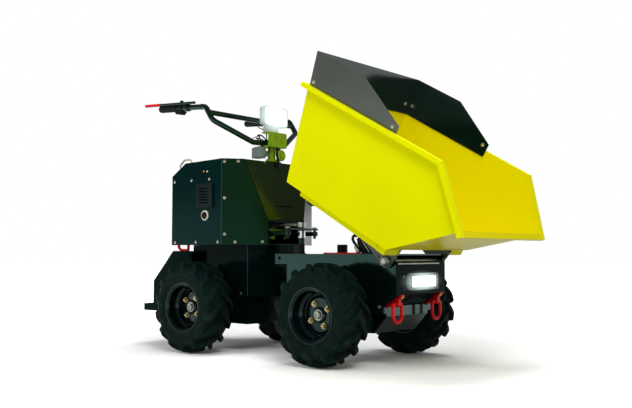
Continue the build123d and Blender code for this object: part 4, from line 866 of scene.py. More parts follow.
def rounded(width: float, height: float, radius: float, steps: int) -> Array:
    """Outline of a rounded rectangle about its middle, anticlockwise.

    Each corner is a quarter circle of the radius, sampled in equal angles.

    Args:
        width: Its first side.
        height: Its second side.
        radius: Radius of the corners.
        steps: Points on each corner.

    Returns:
        (n, 2) points.
    """
    turn = np.linspace(0.0, math.pi / 2, steps)
    corner = radius * np.stack([np.cos(turn), np.sin(turn)], -1)
    quarters = []
    for k, (sx, sy) in enumerate(((1, 1), (-1, 1), (-1, -1), (1, -1))):
        c, n = math.cos(k * math.pi / 2), math.sin(k * math.pi / 2)
        place = np.array([sx * (width / 2 - radius), sy * (height / 2 - radius)])
        quarters.append(corner @ np.array([[c, n], [-n, c]]) + place)
    return np.vstack(quarters)


def slab(
    size: Triple, origin: Array, across: Sequence, up: Sequence, thick: float, bevel: float, steps: int = 6
) -> Shape:
    """A rounded plate with a rounded edge round its outer face.

    Ring k lies at height h(k) along across x up, its outline drawn in by d(k): the edge follows a quarter
    circle of the bevel's size, h = thick - bevel * (1 - sin a), d = bevel * (1 - cos a).

    Args:
        size: Width, height and corner radius.
        origin: Place of its middle on the seat, in metres.
        across: Unit vector of its width.
        up: Unit vector of its height.
        thick: Thickness.
        bevel: Radius of the edge.
        steps: Points on each corner.

    Returns:
        Points and faces.
    """
    outline = rounded(*size, steps) * MM
    across, up = np.asarray(across, float), np.asarray(up, float)
    edge = np.roll(outline, -1, 0) - outline
    edge /= np.linalg.norm(edge, axis=1)[:, None]
    normal = np.stack([edge[:, 1], -edge[:, 0]], -1)
    miter = normal + np.roll(normal, 1, 0)
    sharpest = 0.35
    miter /= np.maximum((miter * normal).sum(1), sharpest)[:, None]
    a = np.linspace(0.0, math.pi / 2, 4)
    height = np.concatenate([[0.0], thick - bevel * (1.0 - np.sin(a))])[:, None, None] * MM
    inset = np.concatenate([[0.0], bevel * (1.0 - np.cos(a))])[:, None, None] * MM
    flat = outline[None] - inset * miter[None]
    return capped(origin + flat[..., :1] * across + flat[..., 1:] * up + height * np.cross(across, up))


def bead(start: Array, end: Array, radius: float, ripple: float = 0.10) -> Shape:
    """A weld bead: a tube whose radius at distance s is r * (1 + ripple * sin(2 pi s / (1.8 r))).

    Args:
        start: One end, in metres.
        end: The other end, in metres.
        radius: Its mean radius.
        ripple: Share by which that swells and shrinks.

    Returns:
        Points and faces.
    """
    length = float(np.linalg.norm(end - start)) / MM
    spacing, wave, sides = 0.6 * radius, 1.8 * radius, 8
    share = np.linspace(0.0, 1.0, max(int(length / spacing), sides))
    swell = radius * (1.0 + ripple * np.sin(share * length * 2 * math.pi / wave))
    return tube(start + share[:, None] * (end - start), swell, sides)


# ---------------------------------------------------------------- tyres and wheels
def hand_of(corner: str) -> float:
    """1 for a wheel on the left, -1 for one on the right."""
    return 1.0 if "left" in corner else -1.0


@dataclass
class Tyre:
    """A lugged tyre that stands for one CAD tyre.

    Attributes:
        corner: Which wheel, such as front_left.
        lugs: Lugs on each side of the tread.
        carcass: (across, radius) points of the casing's outer half section, middle to bead.
        lining: The same for its inner face, from the bead inward.
        well: The same for the band over the rim, from side to side.
        cap: (across, radius) points of the lugs' tops, from the middle to low on the sidewall.
        root: The casing just under those points.
        widths: (share of the way along, half width) of a lug.
        section: (share of the half width, share of the height) of a lug's points across it.
        sweep: How far a lug leads at the middle in radians, where along it that ends, and its power.
        foot: Height share left at a lug's outer end.
    """

    corner: str
    lugs: int = 14
    carcass: tuple = (
        (0, 191.5), (20, 191), (40, 189), (54, 185), (64, 179), (70.5, 171), (73.4, 162), (73.9, 157.5),
        (75.0, 156.3), (75.2, 154.6), (74.0, 153.4), (73.9, 148), (73.3, 142.2), (74.6, 141.0), (74.6, 139.2),
        (73.0, 138.0), (72.6, 133), (73.4, 131.6), (73.2, 129.6), (71.4, 128.2), (70.6, 123.2), (71.0, 121.0),
        (69.4, 117.6), (66.0, 115.2),
    )
    lining: tuple = ((62.0, 113.7), (46.0, 107.2))
    well: tuple = ((-20.0, 107.0), (20.0, 107.0))
    cap: tuple = (
        (-9, 209.6), (12, 209.6), (34, 208.6), (52, 205.6), (64, 200.5), (70.5, 193), (73.6, 182),
        (74.6, 168),
    )
    root: tuple = ((-9, 189), (12, 189), (34, 187), (52, 182), (60, 177), (66, 171), (70, 163), (72.0, 157))
    widths: tuple = ((0.0, 17.0), (0.1, 20.0), (0.5, 24.0), (0.75, 31.0), (1.0, 27.0))
    section: tuple = ((-0.72, 0.0), (-0.5, 0.90), (-0.42, 1.0), (0.42, 1.0), (0.5, 0.90), (0.72, 0.0))
    sweep: Triple = (0.40, 0.62, 1.15)
    foot: float = 0.05

    def build(self) -> None:
        """Builds the casing and its lugs as one mesh, which takes the CAD tyre's place."""
        centre, side = joint_place(self.corner + "_spin"), hand_of(self.corner)
        half, inner = np.array(self.carcass), np.array(self.lining)
        mirror = [-1, 1]
        whole = np.vstack([inner[::-1], half[::-1], half[1:] * mirror, inner * mirror, self.well])
        casing = revolve(whole[::-1], centre, [0.0, side, 0.0], steps=112, closed=True)
        shape = merge([casing, self._lug_shape(centre, side)])
        piece = dress("tread_" + self.corner, shape, TYRE, "wheel_" + self.corner)
        normals_out(piece.data)
        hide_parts("tyre_" + self.corner)

    def _lug_shape(self, centre: Array, side: float) -> Shape:
        """All lugs of both rows.

        A lug is a grid: s runs along it from the middle of the tread over the shoulder, and across it go
        six points at set widths and heights. Its point is root(s) + height * (cap(s) - root(s)), turned
        round the axle by the lug's own angle, its sweep(s), and its width over the radius.

        Args:
            centre: The wheel's middle, in metres.
            side: 1 on the left, -1 on the right.

        Returns:
            Points and faces.
        """
        share = np.linspace(0.0, 1.0, len(self.cap))
        s = np.linspace(0.0, 1.0, 17)
        cap, root = (
            np.column_stack([np.interp(s, share, line) for line in np.array(points, float).T])
            for points in (self.cap, self.root)
        )
        lead, reach, power = self.sweep
        sweep = lead * np.clip(1.0 - s / reach, 0.0, 1.0) ** power
        width = np.interp(s, *np.array(self.widths).T)
        across, tall = np.array(self.section).T
        lift = np.ones(len(s))
        lift[0], lift[-1] = 0.0, self.foot
        point = root[:, None] + (tall * lift[:, None])[..., None] * (cap - root)[:, None]
        rows, columns = len(s), len(across)
        last, end = columns - 1, (rows - 1) * columns
        faces = grid_faces(rows, columns).tolist()
        faces += [list(range(columns)), [end + i for i in range(columns)]]
        faces += [[k, k + columns, k + columns + last, k + last] for k in range(0, end, columns)]
        parts = []
        for hand in HANDS[::-1]:
            turn = np.arange(self.lugs) * 2 * math.pi / self.lugs + (0.0 if hand > 0 else math.pi / self.lugs)
            angle = turn[:, None, None] + sweep[:, None] + width[:, None] * across / point[..., 1]
            x, r = (np.broadcast_to(line, angle.shape) * MM for line in (hand * point[..., 0], point[..., 1]))
            place = np.stack([-r * np.sin(angle), side * x, r * np.cos(angle)], -1) + centre
            parts.append((place.reshape(-1, 3), repeated(faces, rows * columns, self.lugs)))
        return merge(parts)


def normals_out(mesh: bpy.types.Mesh) -> None:
    """Merges doubled points and turns every face outward.

    Args:
        mesh: The mesh, changed in place.
    """
    work = bmesh.new()
    work.from_mesh(mesh)
    bmesh.ops.remove_doubles(work, verts=work.verts, dist=1e-6)
    bmesh.ops.recalc_face_normals(work, faces=work.faces)
    work.to_mesh(mesh)
    work.free()


@dataclass
class WheelTrim:
    """Studs, nuts, hub cap, valve and rim edge of one wheel.

    Attributes:
        corner: Which wheel.
        pitch: Radius of the stud circle.
        face: How far the disc's outer face stands outboard of the wheel's middle.
        first: Angle of the first stud of a front and of a rear wheel, in degrees.
        nut: Height of the nuts' seat over the face, and their radius.
        flange: (outboard, radius) profile of the collar under each nut.
        shank: The same of a stud's end.
        cap: The same of the hub cap.
        lip: The same of the rim's worn edge, a closed loop.
        stem: The same of the valve.
        valve: Angle of the valve in degrees, its distance from the axle, and outboard.
    """

    corner: str
    pitch: float = 50.0
    face: float = 7.0
    first: tuple = (30.0, 53.0)
    nut: tuple = (6.2, 9.6)
    flange: tuple = ((0.0, 13.5), (3.6, 13.5), (4.6, 12.6), (4.6, 7.0), (9.0, 6.8), (9.0, POLE))
    shank: tuple = ((9.0, 5.2), (16.6, 5.2), (17.6, 4.2), (17.8, POLE))
    cap: tuple = (
        (7.0, 31.0), (13.0, 31.0), (15.0, 29.0), (15.0, 24.5), (16.6, 23.5), (18.4, 22.6), (18.4, 16.0),
        (23.5, 15.2), (25.0, 13.6), (25.0, 8.0), (22.6, 7.4), (22.6, POLE),
    )
    # lip: The same of the rim's edge, a closed loop, whose paler paint is a painted highlight.
    lip: tuple = ((68.2, 112.6), (69.6, 113.4), (70.0, 114.2), (69.4, 114.9), (68.0, 115.2), (67.0, 114.6))
    stem: tuple = (
        (0.0, 6.0), (4.0, 5.6), (6.0, 4.4), (24.0, 4.0), (25.0, 3.3), (37.0, 3.3), (38.0, 4.1), (48.0, 4.1),
        (49.0, POLE),
    )
    valve: Triple = (-62.0, 84.0, 6.0)

    def build(self) -> None:
        """Builds the trim of this wheel."""
        centre = joint_place(self.corner + "_spin")
        out = np.array([0.0, hand_of(self.corner), 0.0])
        turn = np.arange(4) * math.pi / 2 + math.radians(self.first["front" not in self.corner])
        ring = np.column_stack([np.cos(turn), np.zeros(4), np.sin(turn)]) * self.pitch
        seats = centre + (ring + out * self.face) * MM
        seat_height, nut_radius = self.nut
        angle, distance, outboard = math.radians(self.valve[0]), *self.valve[1:]
        root = centre + (np.array([math.cos(angle), 0.0, math.sin(angle)]) * distance + out * outboard) * MM
        nuts = heads(seats + out * seat_height * MM, out, nut_radius, Head.HEX, washer=1.12)
        flanges = merge([revolve(self.flange, seat, out, steps=28) for seat in seats])
        shanks = merge([revolve(self.shank, seat, out, steps=20) for seat in seats])
        pieces = (
            ("stud_flanges_", flanges, ZINC, "zinc_plate"),
            ("wheel_nuts_", nuts, BRASS, "zinc_plate"),
            ("wheel_studs_", shanks, ZINC, "zinc_plate"),
            ("hub_cap_", revolve(self.cap, centre, out, steps=48), DULL_ZINC, "zinc_plate"),
            ("rim_edge_", revolve(self.lip, centre, out, steps=96, closed=True), RIM_EDGE_HIGHLIGHT, "rim_black"),
            ("valve_", revolve(self.stem, root, out, steps=16), RUBBER, "grip_rubber"),
        )
        dress_all("wheel_" + self.corner, [(name + self.corner, *rest) for name, *rest in pieces])


# ---------------------------------------------------------------- the rear half
@dataclass
class BoxTrim:
    """Folds, bolts, key switch and small lamps of the power box.

    Attributes:
        half: Half width of the box.
        fold: (ahead, half width, foot, top) of each upright fold.
        slope: Outward direction of the slanted strip on the right, seen from above.
        strip: (ahead, left, up) of the strip's bolts.
        side: (ahead, up) of the bolts on the box's side.
        nose: (ahead, half spacing, up) of the bolts on the nose cover.
        rear: (ahead, half spacing) of the bolts down the back.
        rear_rows: Heights of those.
        bolt: Radius of a bolt's head, and its washer's share of it.
        switch: (ahead, up) of the key switch on the side.
        lamps: The same of the amber and of the clear pilot lamp.
        key: Width, height and corner radius of the switch's key, and how far from the middle it sits.
        ring: (outboard, radius) profile of its ring.
        core: The same of its barrel.
        pilot: The same of a pilot lamp.
        grommet: The same of the cable's grommet, whose seat is hole.
        hole: (ahead, left, up) of the cable's hole in the nose cover.
        stub: Path of the cable's lower end.
    """

    half: float = 313.0
    fold: tuple = ((179.6, 311.6, 499.0, 803.0), (179.6, 311.6, 809.0, 884.0), (216.4, 178.4, 262.0, 494.0))
    slope: tuple = (0.862, -0.507)
    strip: tuple = (
        (187.5, -301.9, 874.7), (219.9, -246.8, 878.5), (188.1, -300.9, 709.1), (188.7, -299.9, 544.7),
        (213.5, -257.8, 509.1), (279.1, -146.3, 510.2),
    )
    side: tuple = (
        (-147.0, 798.0), (-25.0, 799.0), (98.0, 799.0), (-141.0, 509.0), (8.0, 509.0), (158.0, 509.0),
    )
    nose: Triple = (233.9, 88.0, 881.6)
    rear: tuple = (-165.0, 290.0)
    rear_rows: tuple = (512.0, 650.0, 790.0)
    bolt: tuple = (5.6, Head.DOME, 1.25)
    switch: tuple = (70.8, 631.7)
    lamps: tuple = ((61.4, 836.4), (85.5, 834.8))
    key: tuple = ((6.0, 21.0, 2.8), 322.6)
    ring: tuple = ((0.0, 24.0), (3.0, 24.0), (4.6, 22.6), (4.6, 17.5), (3.0, 16.6), (3.0, POLE))
    core: tuple = ((3.0, 15.6), (9.0, 15.0), (10.0, 14.0), (10.0, POLE))
    pilot: tuple = ((0.0, 4.6), (2.0, 4.6), (3.6, 3.6), (4.4, 1.8), (4.6, POLE))
    grommet: tuple = ((0.0, 13.0), (2.2, 13.0), (4.4, 11.0), (4.4, 7.0), (2.0, 6.0), (2.0, POLE))
    hole: Triple = (237.4, -6.4, 865)
    stub: tuple = ((234, -6.4, 864), (246, -6.2, 868), (251, -5.8, 879), (248, -5.4, 890), (243, -5, 897))

    def build(self) -> None:
        """Builds all pieces of the box; the folds are slim tubes let into its edges, whose rounded faces catch the
        light and whose paler paint is a painted highlight.
        """
        folds = [
            tube(at([(x, hand * y, foot), (x, hand * y, top)]), radius=2.0)
            for hand in HANDS for x, y, foot, top in self.fold
        ]
        rear_x, rear_y = self.rear
        rear = at([(rear_x, y, z) for y in (-rear_y, rear_y) for z in self.rear_rows])
        dress_all("rear_chassis", (
            ("sheet_folds", merge(folds), FOLD_HIGHLIGHT, "box_paint"),
            ("box_bolts", self._bolts(), ZINC, "zinc_plate"),
            *self._fittings(),
            ("back_bolts", heads(rear, BACK, *self.bolt), ZINC, "zinc_plate"),
        ))

    def _bolts(self) -> Shape:
        """Dome heads on both strips and sides, and on the nose cover's top corners."""
        places, normals = [], []
        for hand in HANDS:
            for x, y, z in self.strip:
                places.append((x, -hand * y, z))
                normals.append((self.slope[0], -hand * self.slope[1], 0.0))
            for x, z in self.side:
                places.append((x, hand * self.half, z))
                normals.append((0.0, hand, 0.0))
            places.append((self.nose[0], hand * self.nose[1], self.nose[2]))
            normals.append(NOSE_OUT)
        return heads(at(places), normals, *self.bolt)

    def _fittings(self) -> tuple:
        """Key switch, pilot lamps and the cable's grommet and stub.

        Returns:
            Name, shape, finish and slot of each.
        """
        x, z = self.switch
        seat = at((x, -self.half, z))
        size, out = self.key
        key = slab(size, at((x, -out, z)), AHEAD, UP, thick=3.0, bevel=0.8)
        core = merge([revolve(self.core, seat, RIGHT, steps=40), key])
        grommet = revolve(self.grommet, at(self.hole), NOSE_OUT, steps=40)
        amber, clear = (revolve(self.pilot, at((x, -self.half, z)), RIGHT, steps=24) for x, z in self.lamps)
        return (
            ("switch_ring", revolve(self.ring, seat, RIGHT, steps=56), CREAM, "grip_rubber"),
            ("switch_core", core, BLACK_PLASTIC, "black_plastic"),
            ("pilot_lamp_amber", amber, AMBER, "lamp_lens"),
            ("pilot_lamp_clear", clear, CREAM, "lamp_lens"),
            ("cable_grommet", grommet, RUBBER, "grip_rubber"),
            ("cable_stub", wire(self.stub, radius=6.0, sides=14), CABLE, "black_plastic"),
        )

@dataclass
class PlatformTrim:
    """Raised tread pattern of the driver's step, with the bolts and webs of its guard.

    Attributes:
        rows: Rows of lozenges from rear to front, and how many stand in a row.
        corner: (ahead, left, up) of the first lozenge's middle, on the step's top.
        pitch: Spacing of the rows and of the lozenges in a row, and the shift of every second row.
        lozenge: Length, width and end radius of a lozenge.
        rise: Its height and the radius of its edge.
        bolts: (ahead, left, up) of the guard's bolts.
        web: Width, height and corner radius of each web, and its (ahead, half spacing, up).
    """

    rows: tuple = (17, 17)
    corner: Triple = (-468.0, -200.0, 204.0)
    pitch: Triple = (17.5, 25.0, 6.0)
    lozenge: Triple = (20.0, 6.0, 2.9)
    rise: tuple = (1.4, 0.9)
    bolts: tuple = tuple((-164.3, y, 236.0) for y in (-150.0, -60.0, 60.0, 150.0))
    web: tuple = ((52.0, 204.0, 1.0), (-160.6, 200.5, 366.5))

    def build(self) -> None:
        """Builds the tread, whose lozenges lean 45 degrees to either side in turn, and the guard's parts."""
        j, i = (part.ravel() for part in np.meshgrid(*map(np.arange, self.rows), indexing="ij"))
        long, wide, shift = self.pitch
        steps = np.stack([long * j, wide * i + shift * (j % 2), 0.0 * j], -1)
        places = at(np.array(self.corner) + steps)
        studs = []
        for odd, lean in enumerate((45.0, -45.0)):
            c, n = math.cos(math.radians(lean)), math.sin(math.radians(lean))
            points, faces = slab(self.lozenge, np.zeros(3), [c, n, 0.0], [-n, c, 0.0], *self.rise, steps=3)
            chosen = places[(i + j) % 2 == odd]
            moved = (chosen[:, None] + points[None]).reshape(-1, 3)
            studs.append((moved, repeated(faces, len(points), len(chosen))))
        size, place = self.web
        webs = [slab(size, seat, RIGHT, UP, thick=3.0, bevel=0.8) for seat in pair(*place)]
        bolts = heads(at(self.bolts), BACK, radius=8.0, kind=Head.HEX, washer=1.5)
        dress_all("rear_chassis", (
            ("step_tread", merge(studs), STEP, "chassis_paint"),
            ("guard_bolts", bolts, ZINC, "zinc_plate"),
            ("guard_webs", merge(webs), REAR_PAINT, "chassis_paint"),
        ))


@dataclass
class HeadTrim:
    """Cables and wires round the steering head, which turn with it, and the horn's inner ring.

    Attributes:
        cables: Path and radius of each cable.
        wires: Path of each bent wire.
        cone: (outward, radius) profile of the horn's ring.
        horn: Middle of the horn's face.
    """

    cables: tuple = (
        (((226, 6, 968), (230, 0, 950), (235, -4, 926), (243, -5, 896.6)), 6.0),
        (((198, -64, 962), (200, -78, 990), (192, -84, 1012), (176, -74, 1022), (184, -54, 1020),
          (202, -44, 996)), 3.4),
        (((190, -60, 962), (184, -72, 992), (166, -76, 1008), (158, -62, 1010), (176, -50, 1004),
          (194, -46, 994)), 2.6),
        (((192, -60, 1106), (180, -74, 1086), (178, -78, 1064), (190, -66, 1052), (204, -52, 1050)), 2.2),
        (((190, -20, 1090), (184, -24, 1066), (180, -22, 1036), (188, -26, 1000), (196, -30, 972)), 3.0),
    )
    wires: tuple = (
        ((200, -44, 996), (186, -62, 1018), (160, -71, 1016), (136, -74, 1008), (150, -96, 996),
         (172, -110, 990)),
        ((192, -64, 1092), (171, -70, 1086), (178, -74, 1060), (200, -62, 1046), (210, -52, 1042)),
    )
    cone: tuple = ((-3.4, 20.0), (-1.6, 20.4), (-0.6, 19.6), (-1.0, 15.0), (-2.6, 12.6))
    horn: Triple = (236, 30, 928)

    def build(self) -> None:
        """Builds the head's cables, wires and ring."""
        cables = merge([wire(points, radius) for points, radius in self.cables])
        dress_all("steering", (
            ("head_cables", cables, CABLE, "black_plastic"),
            ("head_wires", merge([wire(points, radius=2.2) for points in self.wires]), CHROME, "zinc_plate"),
            ("horn_ring", revolve(self.cone, at(self.horn), AHEAD, steps=48), PASSIVATED, "zinc_plate"),
        ))


@dataclass
class BarTrim:
    """Ribs and end caps of both grips, with the cable ties of the bar.

    Attributes:
        ribs: Ribs on a grip.
        front: (ahead, half spacing, up) of a grip bar's axis at its front.
        rear: The same at its rear.
        grip: Where a grip begins and ends, ahead.
        radius: Radius of the grips and of the bare bar.
        rib: How proud a rib stands, and half its length.
        collar: The same of the collar at the grip's front end.
        tie: The same of a cable tie.
        ties: Where the ties sit on the right bar and on the left, ahead.
        spread: Shares of the grip's length between which the ribs stand.
        cap: (outward, radius) profile of an end cap.
    """

    ribs: int = 17
    front: Triple = (44.0, 290.0, 1146.0)
    rear: Triple = (-262.0, 294.0, 1166.0)
    grip: tuple = (-160.0, -277.0)
    radius: tuple = (16.0, 13.0)
    rib: tuple = (1.25, 1.9)
    collar: tuple = (3.4, 3.4)
    tie: tuple = (1.6, 2.6)
    ties: tuple = ((-60.0, 20.0), (-70.0, 20.0))
    spread: tuple = (0.06, 0.94)
    cap: tuple = ((0.0, 16.0), (2.2, 15.6), (4.0, 13.4), (4.6, 9.0), (4.8, POLE))

    def build(self) -> None:
        """Builds the grips' ribs, their end caps and the ties."""
        rings, caps, ties = [], [], []
        start, end = self.grip
        grip, bar = self.radius
        for side, places in zip(HANDS, self.ties):
            for share in np.linspace(*self.spread, self.ribs):
                rings.append(self._ring(start + (end - start) * share, side, grip, *self.rib))
            rings.append(self._ring(start - 0.5, side, grip, *self.collar))
            caps.append(revolve(self.cap, *self._bar(end, side), steps=40))
            ties += [self._ring(x, side, bar, *self.tie) for x in places]
        dress_all("steering", (
            ("grip_ribs", merge(rings), RUBBER, "grip_rubber"),
            ("grip_caps", merge(caps), RUBBER, "grip_rubber"),
            ("bar_ties", merge(ties), BLACK_PLASTIC, "black_plastic"),
        ))

    def _bar(self, x: float, side: float) -> tuple[Array, Array]:
        """A grip bar's axis.

        Args:
            x: Where on it, ahead of the rear axle.
            side: 1 for the left bar, -1 for the right.

        Returns:
            The place in metres, and the bar's direction backwards.
        """
        front, run = np.array(self.front), np.array(self.rear) - self.front
        mirror = np.array([1.0, side, 1.0])
        return at((front + (x - front[0]) / run[0] * run) * mirror), run * mirror

    def _ring(self, x: float, side: float, radius: float, proud: float, half: float) -> Shape:
        """A rounded ring round the bar: radius r + h cos(a) at r sin(a) along it, let in by a little.

        Args:
            x: Where on the bar, ahead of the rear axle.
            side: 1 for the left bar, -1 for the right.
            radius: Radius of what it sits on.
            proud: How far it stands out.
            half: Half its length.

        Returns:
            Points and faces.
        """
        sunk = 0.3
        a = np.linspace(-math.pi / 2, math.pi / 2, 7)
        profile = np.column_stack([half * np.sin(a), radius - sunk + (proud + sunk) * np.cos(a)])
        return revolve(profile, *self._bar(x, side), steps=32)


# ---------------------------------------------------------------- the front half
@dataclass
class PivotTrim:
    """Nuts on the four studs of the steering links, and the kingpin's sleeve.

    Attributes:
        studs: Body and place ahead of each pair of studs.
        stud: Half spacing and height of the studs.
        kingpin: Foot of the sleeve.
        sleeve: (up, radius) profile of the sleeve.
    """

    studs: tuple = (("steering", 195.0), ("front_chassis", 387.5))
    stud: tuple = (95.0, 572.6)
    kingpin: Triple = (387.5, 0, 527)
    sleeve: tuple = ((0.0, 18.4), (1.4, 19.8), (34.0, 19.8), (35.5, 18.2), (35.5, 16.1))

    def build(self) -> None:
        """Builds the nuts of the levers and the sleeve."""
        for body, x in self.studs:
            nuts = heads(pair(x, *self.stud), UP, radius=11.0, kind=Head.HEX)
            dress("lever_nuts_" + body, nuts, ZINC, body)
        sleeve = revolve(self.sleeve, at(self.kingpin), UP, steps=48)
        dress("kingpin_sleeve", sleeve, CHROME, "front_chassis")


@dataclass
class RamTrim:
    """Pipe, hose and fitting of the tipping ram, fixed along its barrel.

    Attributes:
        pipe: Path of the pipe.
        hose: Path of the hose.
        foot: Lower end of the ram's axis.
        eye: Upper end, in the skip's own millimetres.
        fitting: Length, width and corner radius of the fitting, and its seat.
    """

    pipe: tuple = (
        (752, -20, 522), (762, -28, 519), (775, -31, 503), (800, -31, 469), (802, -26, 460), (790, -14, 457),
    )
    hose: tuple = (
        (735, -26, 532), (722, -30, 534), (716, -32, 520), (726, -32, 502), (742, -30, 486), (758, -30, 466),
    )
    foot: Triple = (885.0, 0.0, 250.0)
    eye: Triple = (-420.0, 0.0, 34.0)
    fitting: tuple = ((34.0, 26.0, 4.0), (741, -18, 477))

    def build(self) -> None:
        """Builds the ram's hydraulic parts."""
        axis = on_skip(self.eye) - at(self.foot)
        axis /= np.linalg.norm(axis)
        size, seat = self.fitting
        block = slab(size, at(seat), axis, np.cross(axis, LEFT), thick=16.0, bevel=2.5)
        dress_all("ram_outer", (
            ("ram_pipe", wire(self.pipe, radius=3.4, sides=14), CHROME, "zinc_plate"),
            ("ram_hose", wire(self.hose, radius=6.2, sides=16), CABLE, "black_plastic"),
            ("ram_fitting", block, ZINC, "zinc_plate"),
        ))


@dataclass
class FrontTrim:
    """Fasteners and the bar on the front panel, and the bolts of both frames.

    Attributes:
        bar: Length, height and corner radius of the bar, and its seat.
        screws: (ahead, left, up) of the panel's screws.
        side: (ahead, half spacing, up) of the front frame's side bolts.
        rear: The same of the rear frame's.
        lash: The same of the lashing eyes' bolts.
        under: Outward direction of the sheet that those sit on.
        pin: (ahead, half spacing, up) of the tilt pins' ends.
        washer: (outward, radius) profile of a tilt pin's washer.
    """

    bar: tuple = ((300.0, 6.0, 2.4), (1050, -20, 416))
    screws: tuple = tuple((1050, y, z) for y in (-126, 126) for z in (313, 363))
    side: Triple = (964, 180, 242.6)
    rear: Triple = (172.4, 180, 270.5)
    lash: Triple = (1048, 139, 280.7)
    under: Triple = (0.545, 0.0, -0.839)
    pin: Triple = (1010, 208.3, 427)
    washer: tuple = ((-1.5, 22.0), (1.2, 22.0), (2.4, 20.8), (2.4, 13.0), (0.2, 12.0))

    def build(self) -> None:
        """Builds the front's small parts."""
        size, seat = self.bar
        bar = slab(size, at(seat), LEFT, UP, thick=4.0, bevel=1.2)
        screws = heads(at(self.screws), AHEAD, radius=4.2, kind=Head.DOME)
        lash = heads(pair(*self.lash), self.under, radius=7.0, kind=Head.HEX)
        pins = pair(*self.pin)
        washers = [revolve(self.washer, place, out, steps=48) for place, out in zip(pins, OUTWARD)]
        side, rear = (
            heads(pair(*place), OUTWARD, radius=6.5, kind=Head.HEX, washer=1.35)
            for place in (self.side, self.rear)
        )
        dress_all("front_chassis", (
            ("panel_bar", bar, DULL_ZINC, "zinc_plate"),
            ("panel_screws", screws, DARK_ZINC, "zinc_plate"),
            ("side_bolts", side, DARK_ZINC, "zinc_plate"),
            ("lash_bolts", lash, BRASS, "zinc_plate"),
            ("pin_washers", merge(washers), DARK_ZINC, "zinc_plate"),
            ("pin_bolts", heads(pins, OUTWARD, radius=10.5, kind=Head.HEX, washer=1.15), ZINC, "zinc_plate"),
        ))
        dress("rear_frame_bolts", rear, DARK_ZINC, "rear_chassis")


@dataclass
class SkipTrim:
    """Weld beads, extension screws and rubber pads of the skip, in the skip's own millimetres.

    Attributes:
        rail: Half spacing of the cradle's rails, and half the width of one.
        rail_run: Where a rail's welds begin and end along the skip, and their height.
        seam: (along, half width, up) of the skip's lower rear corner, its upper one and its lower front one.
        screws: (along, up) of the extension's screws through the skip's walls.
        rear_screw: (along, half spacing, up) of those through its rear wall.
        rear_out: Outward direction there.
        wall: Half width of a wall at its foot's front end, that end (along, up), and how much the wall
            leans out with height and draws in forward.
        skins: How far the walls' inner and outer screw seats lie inside the skip's outer face.
        pad: Length, width and corner radius of a pad.
        pad_seat: Where along the skip it sits, and how high.
    """

    rail: tuple = (268.0, 23.0)
    rail_run: Triple = (-455.0, -14.0, 75.4)
    seam: tuple = ((-529.0, 302.8, 77.5), (-586.5, 340.3, 470.0), (43.0, 302.8, 77.5))
    screws: tuple = ((-570.0, 508.0), (-132.0, 508.0))
    rear_screw: Triple = (-584.1, 318.0, 508.0)
    rear_out: Triple = (1.0, 0.0, 0.14)
    wall: tuple = (303.0, (45.0, 76.0), 0.09, 0.03)
    skins: tuple = (3.3, 6.35)
    pad: Triple = (30.0, 40.0, 3.0)
    pad_seat: tuple = (-400.0, 50.2)

    def build(self) -> None:
        """Builds the skip's welds, screws and pads."""
        ahead, left = on_skip([(1000.0, 0.0, 0.0), (0.0, 1000.0, 0.0)]) - TILT_PIN
        x, z = self.pad_seat
        seats = on_skip([(x, hand * self.rail[0], z) for hand in HANDS])
        pads = merge([slab(self.pad, seat, ahead, -left, thick=12.0, bevel=2.0) for seat in seats])
        dress_all("skip", (
            ("skip_welds", self._welds(), YELLOW, "skip_yellow"),
            ("extension_screws", self._screws(), ZINC, "zinc_plate"),
            ("rest_pads", pads, RUBBER, "buffer_black"),
        ))

    def _welds(self) -> Shape:
        """Beads along both edges of the cradle's rails, up the skip's rear corners and along its foot."""
        welds = []
        middle, half = self.rail
        start, end, z = self.rail_run
        foot, top, front = self.seam
        for hand in HANDS:
            for edge in HANDS:
                y = hand * middle + edge * half
                welds.append(bead(*on_skip([(start, y, z), (end, y, z)]), radius=2.6))
            for far in (top, front):
                ends = on_skip(np.array([foot, far]) * [1.0, hand, 1.0])
                welds.append(bead(*ends, radius=1.6, ripple=0.06))
        return merge(welds)

    def _screws(self) -> Shape:
        """Dome heads on both faces of the walls and on the rear one."""
        half, (front, foot), lean, taper = self.wall
        places, normals = [], []
        for hand in HANDS:
            for x, z in self.screws:
                wall = half + lean * (z - foot) - taper * (x - front)
                for skin, way in zip(self.skins, (1.0, -1.0)):
                    places.append((x, hand * (wall - skin), z))
                    normals.append((0.0, hand * way, 0.0))
            x, y, z = self.rear_screw
            places.append((x, hand * y, z))
            normals.append(self.rear_out)
        seats = on_skip(places)
        ends = on_skip(np.array(places) + np.array(normals)) - seats
        return heads(seats, ends, radius=6.5, kind=Head.DOME, washer=1.35)


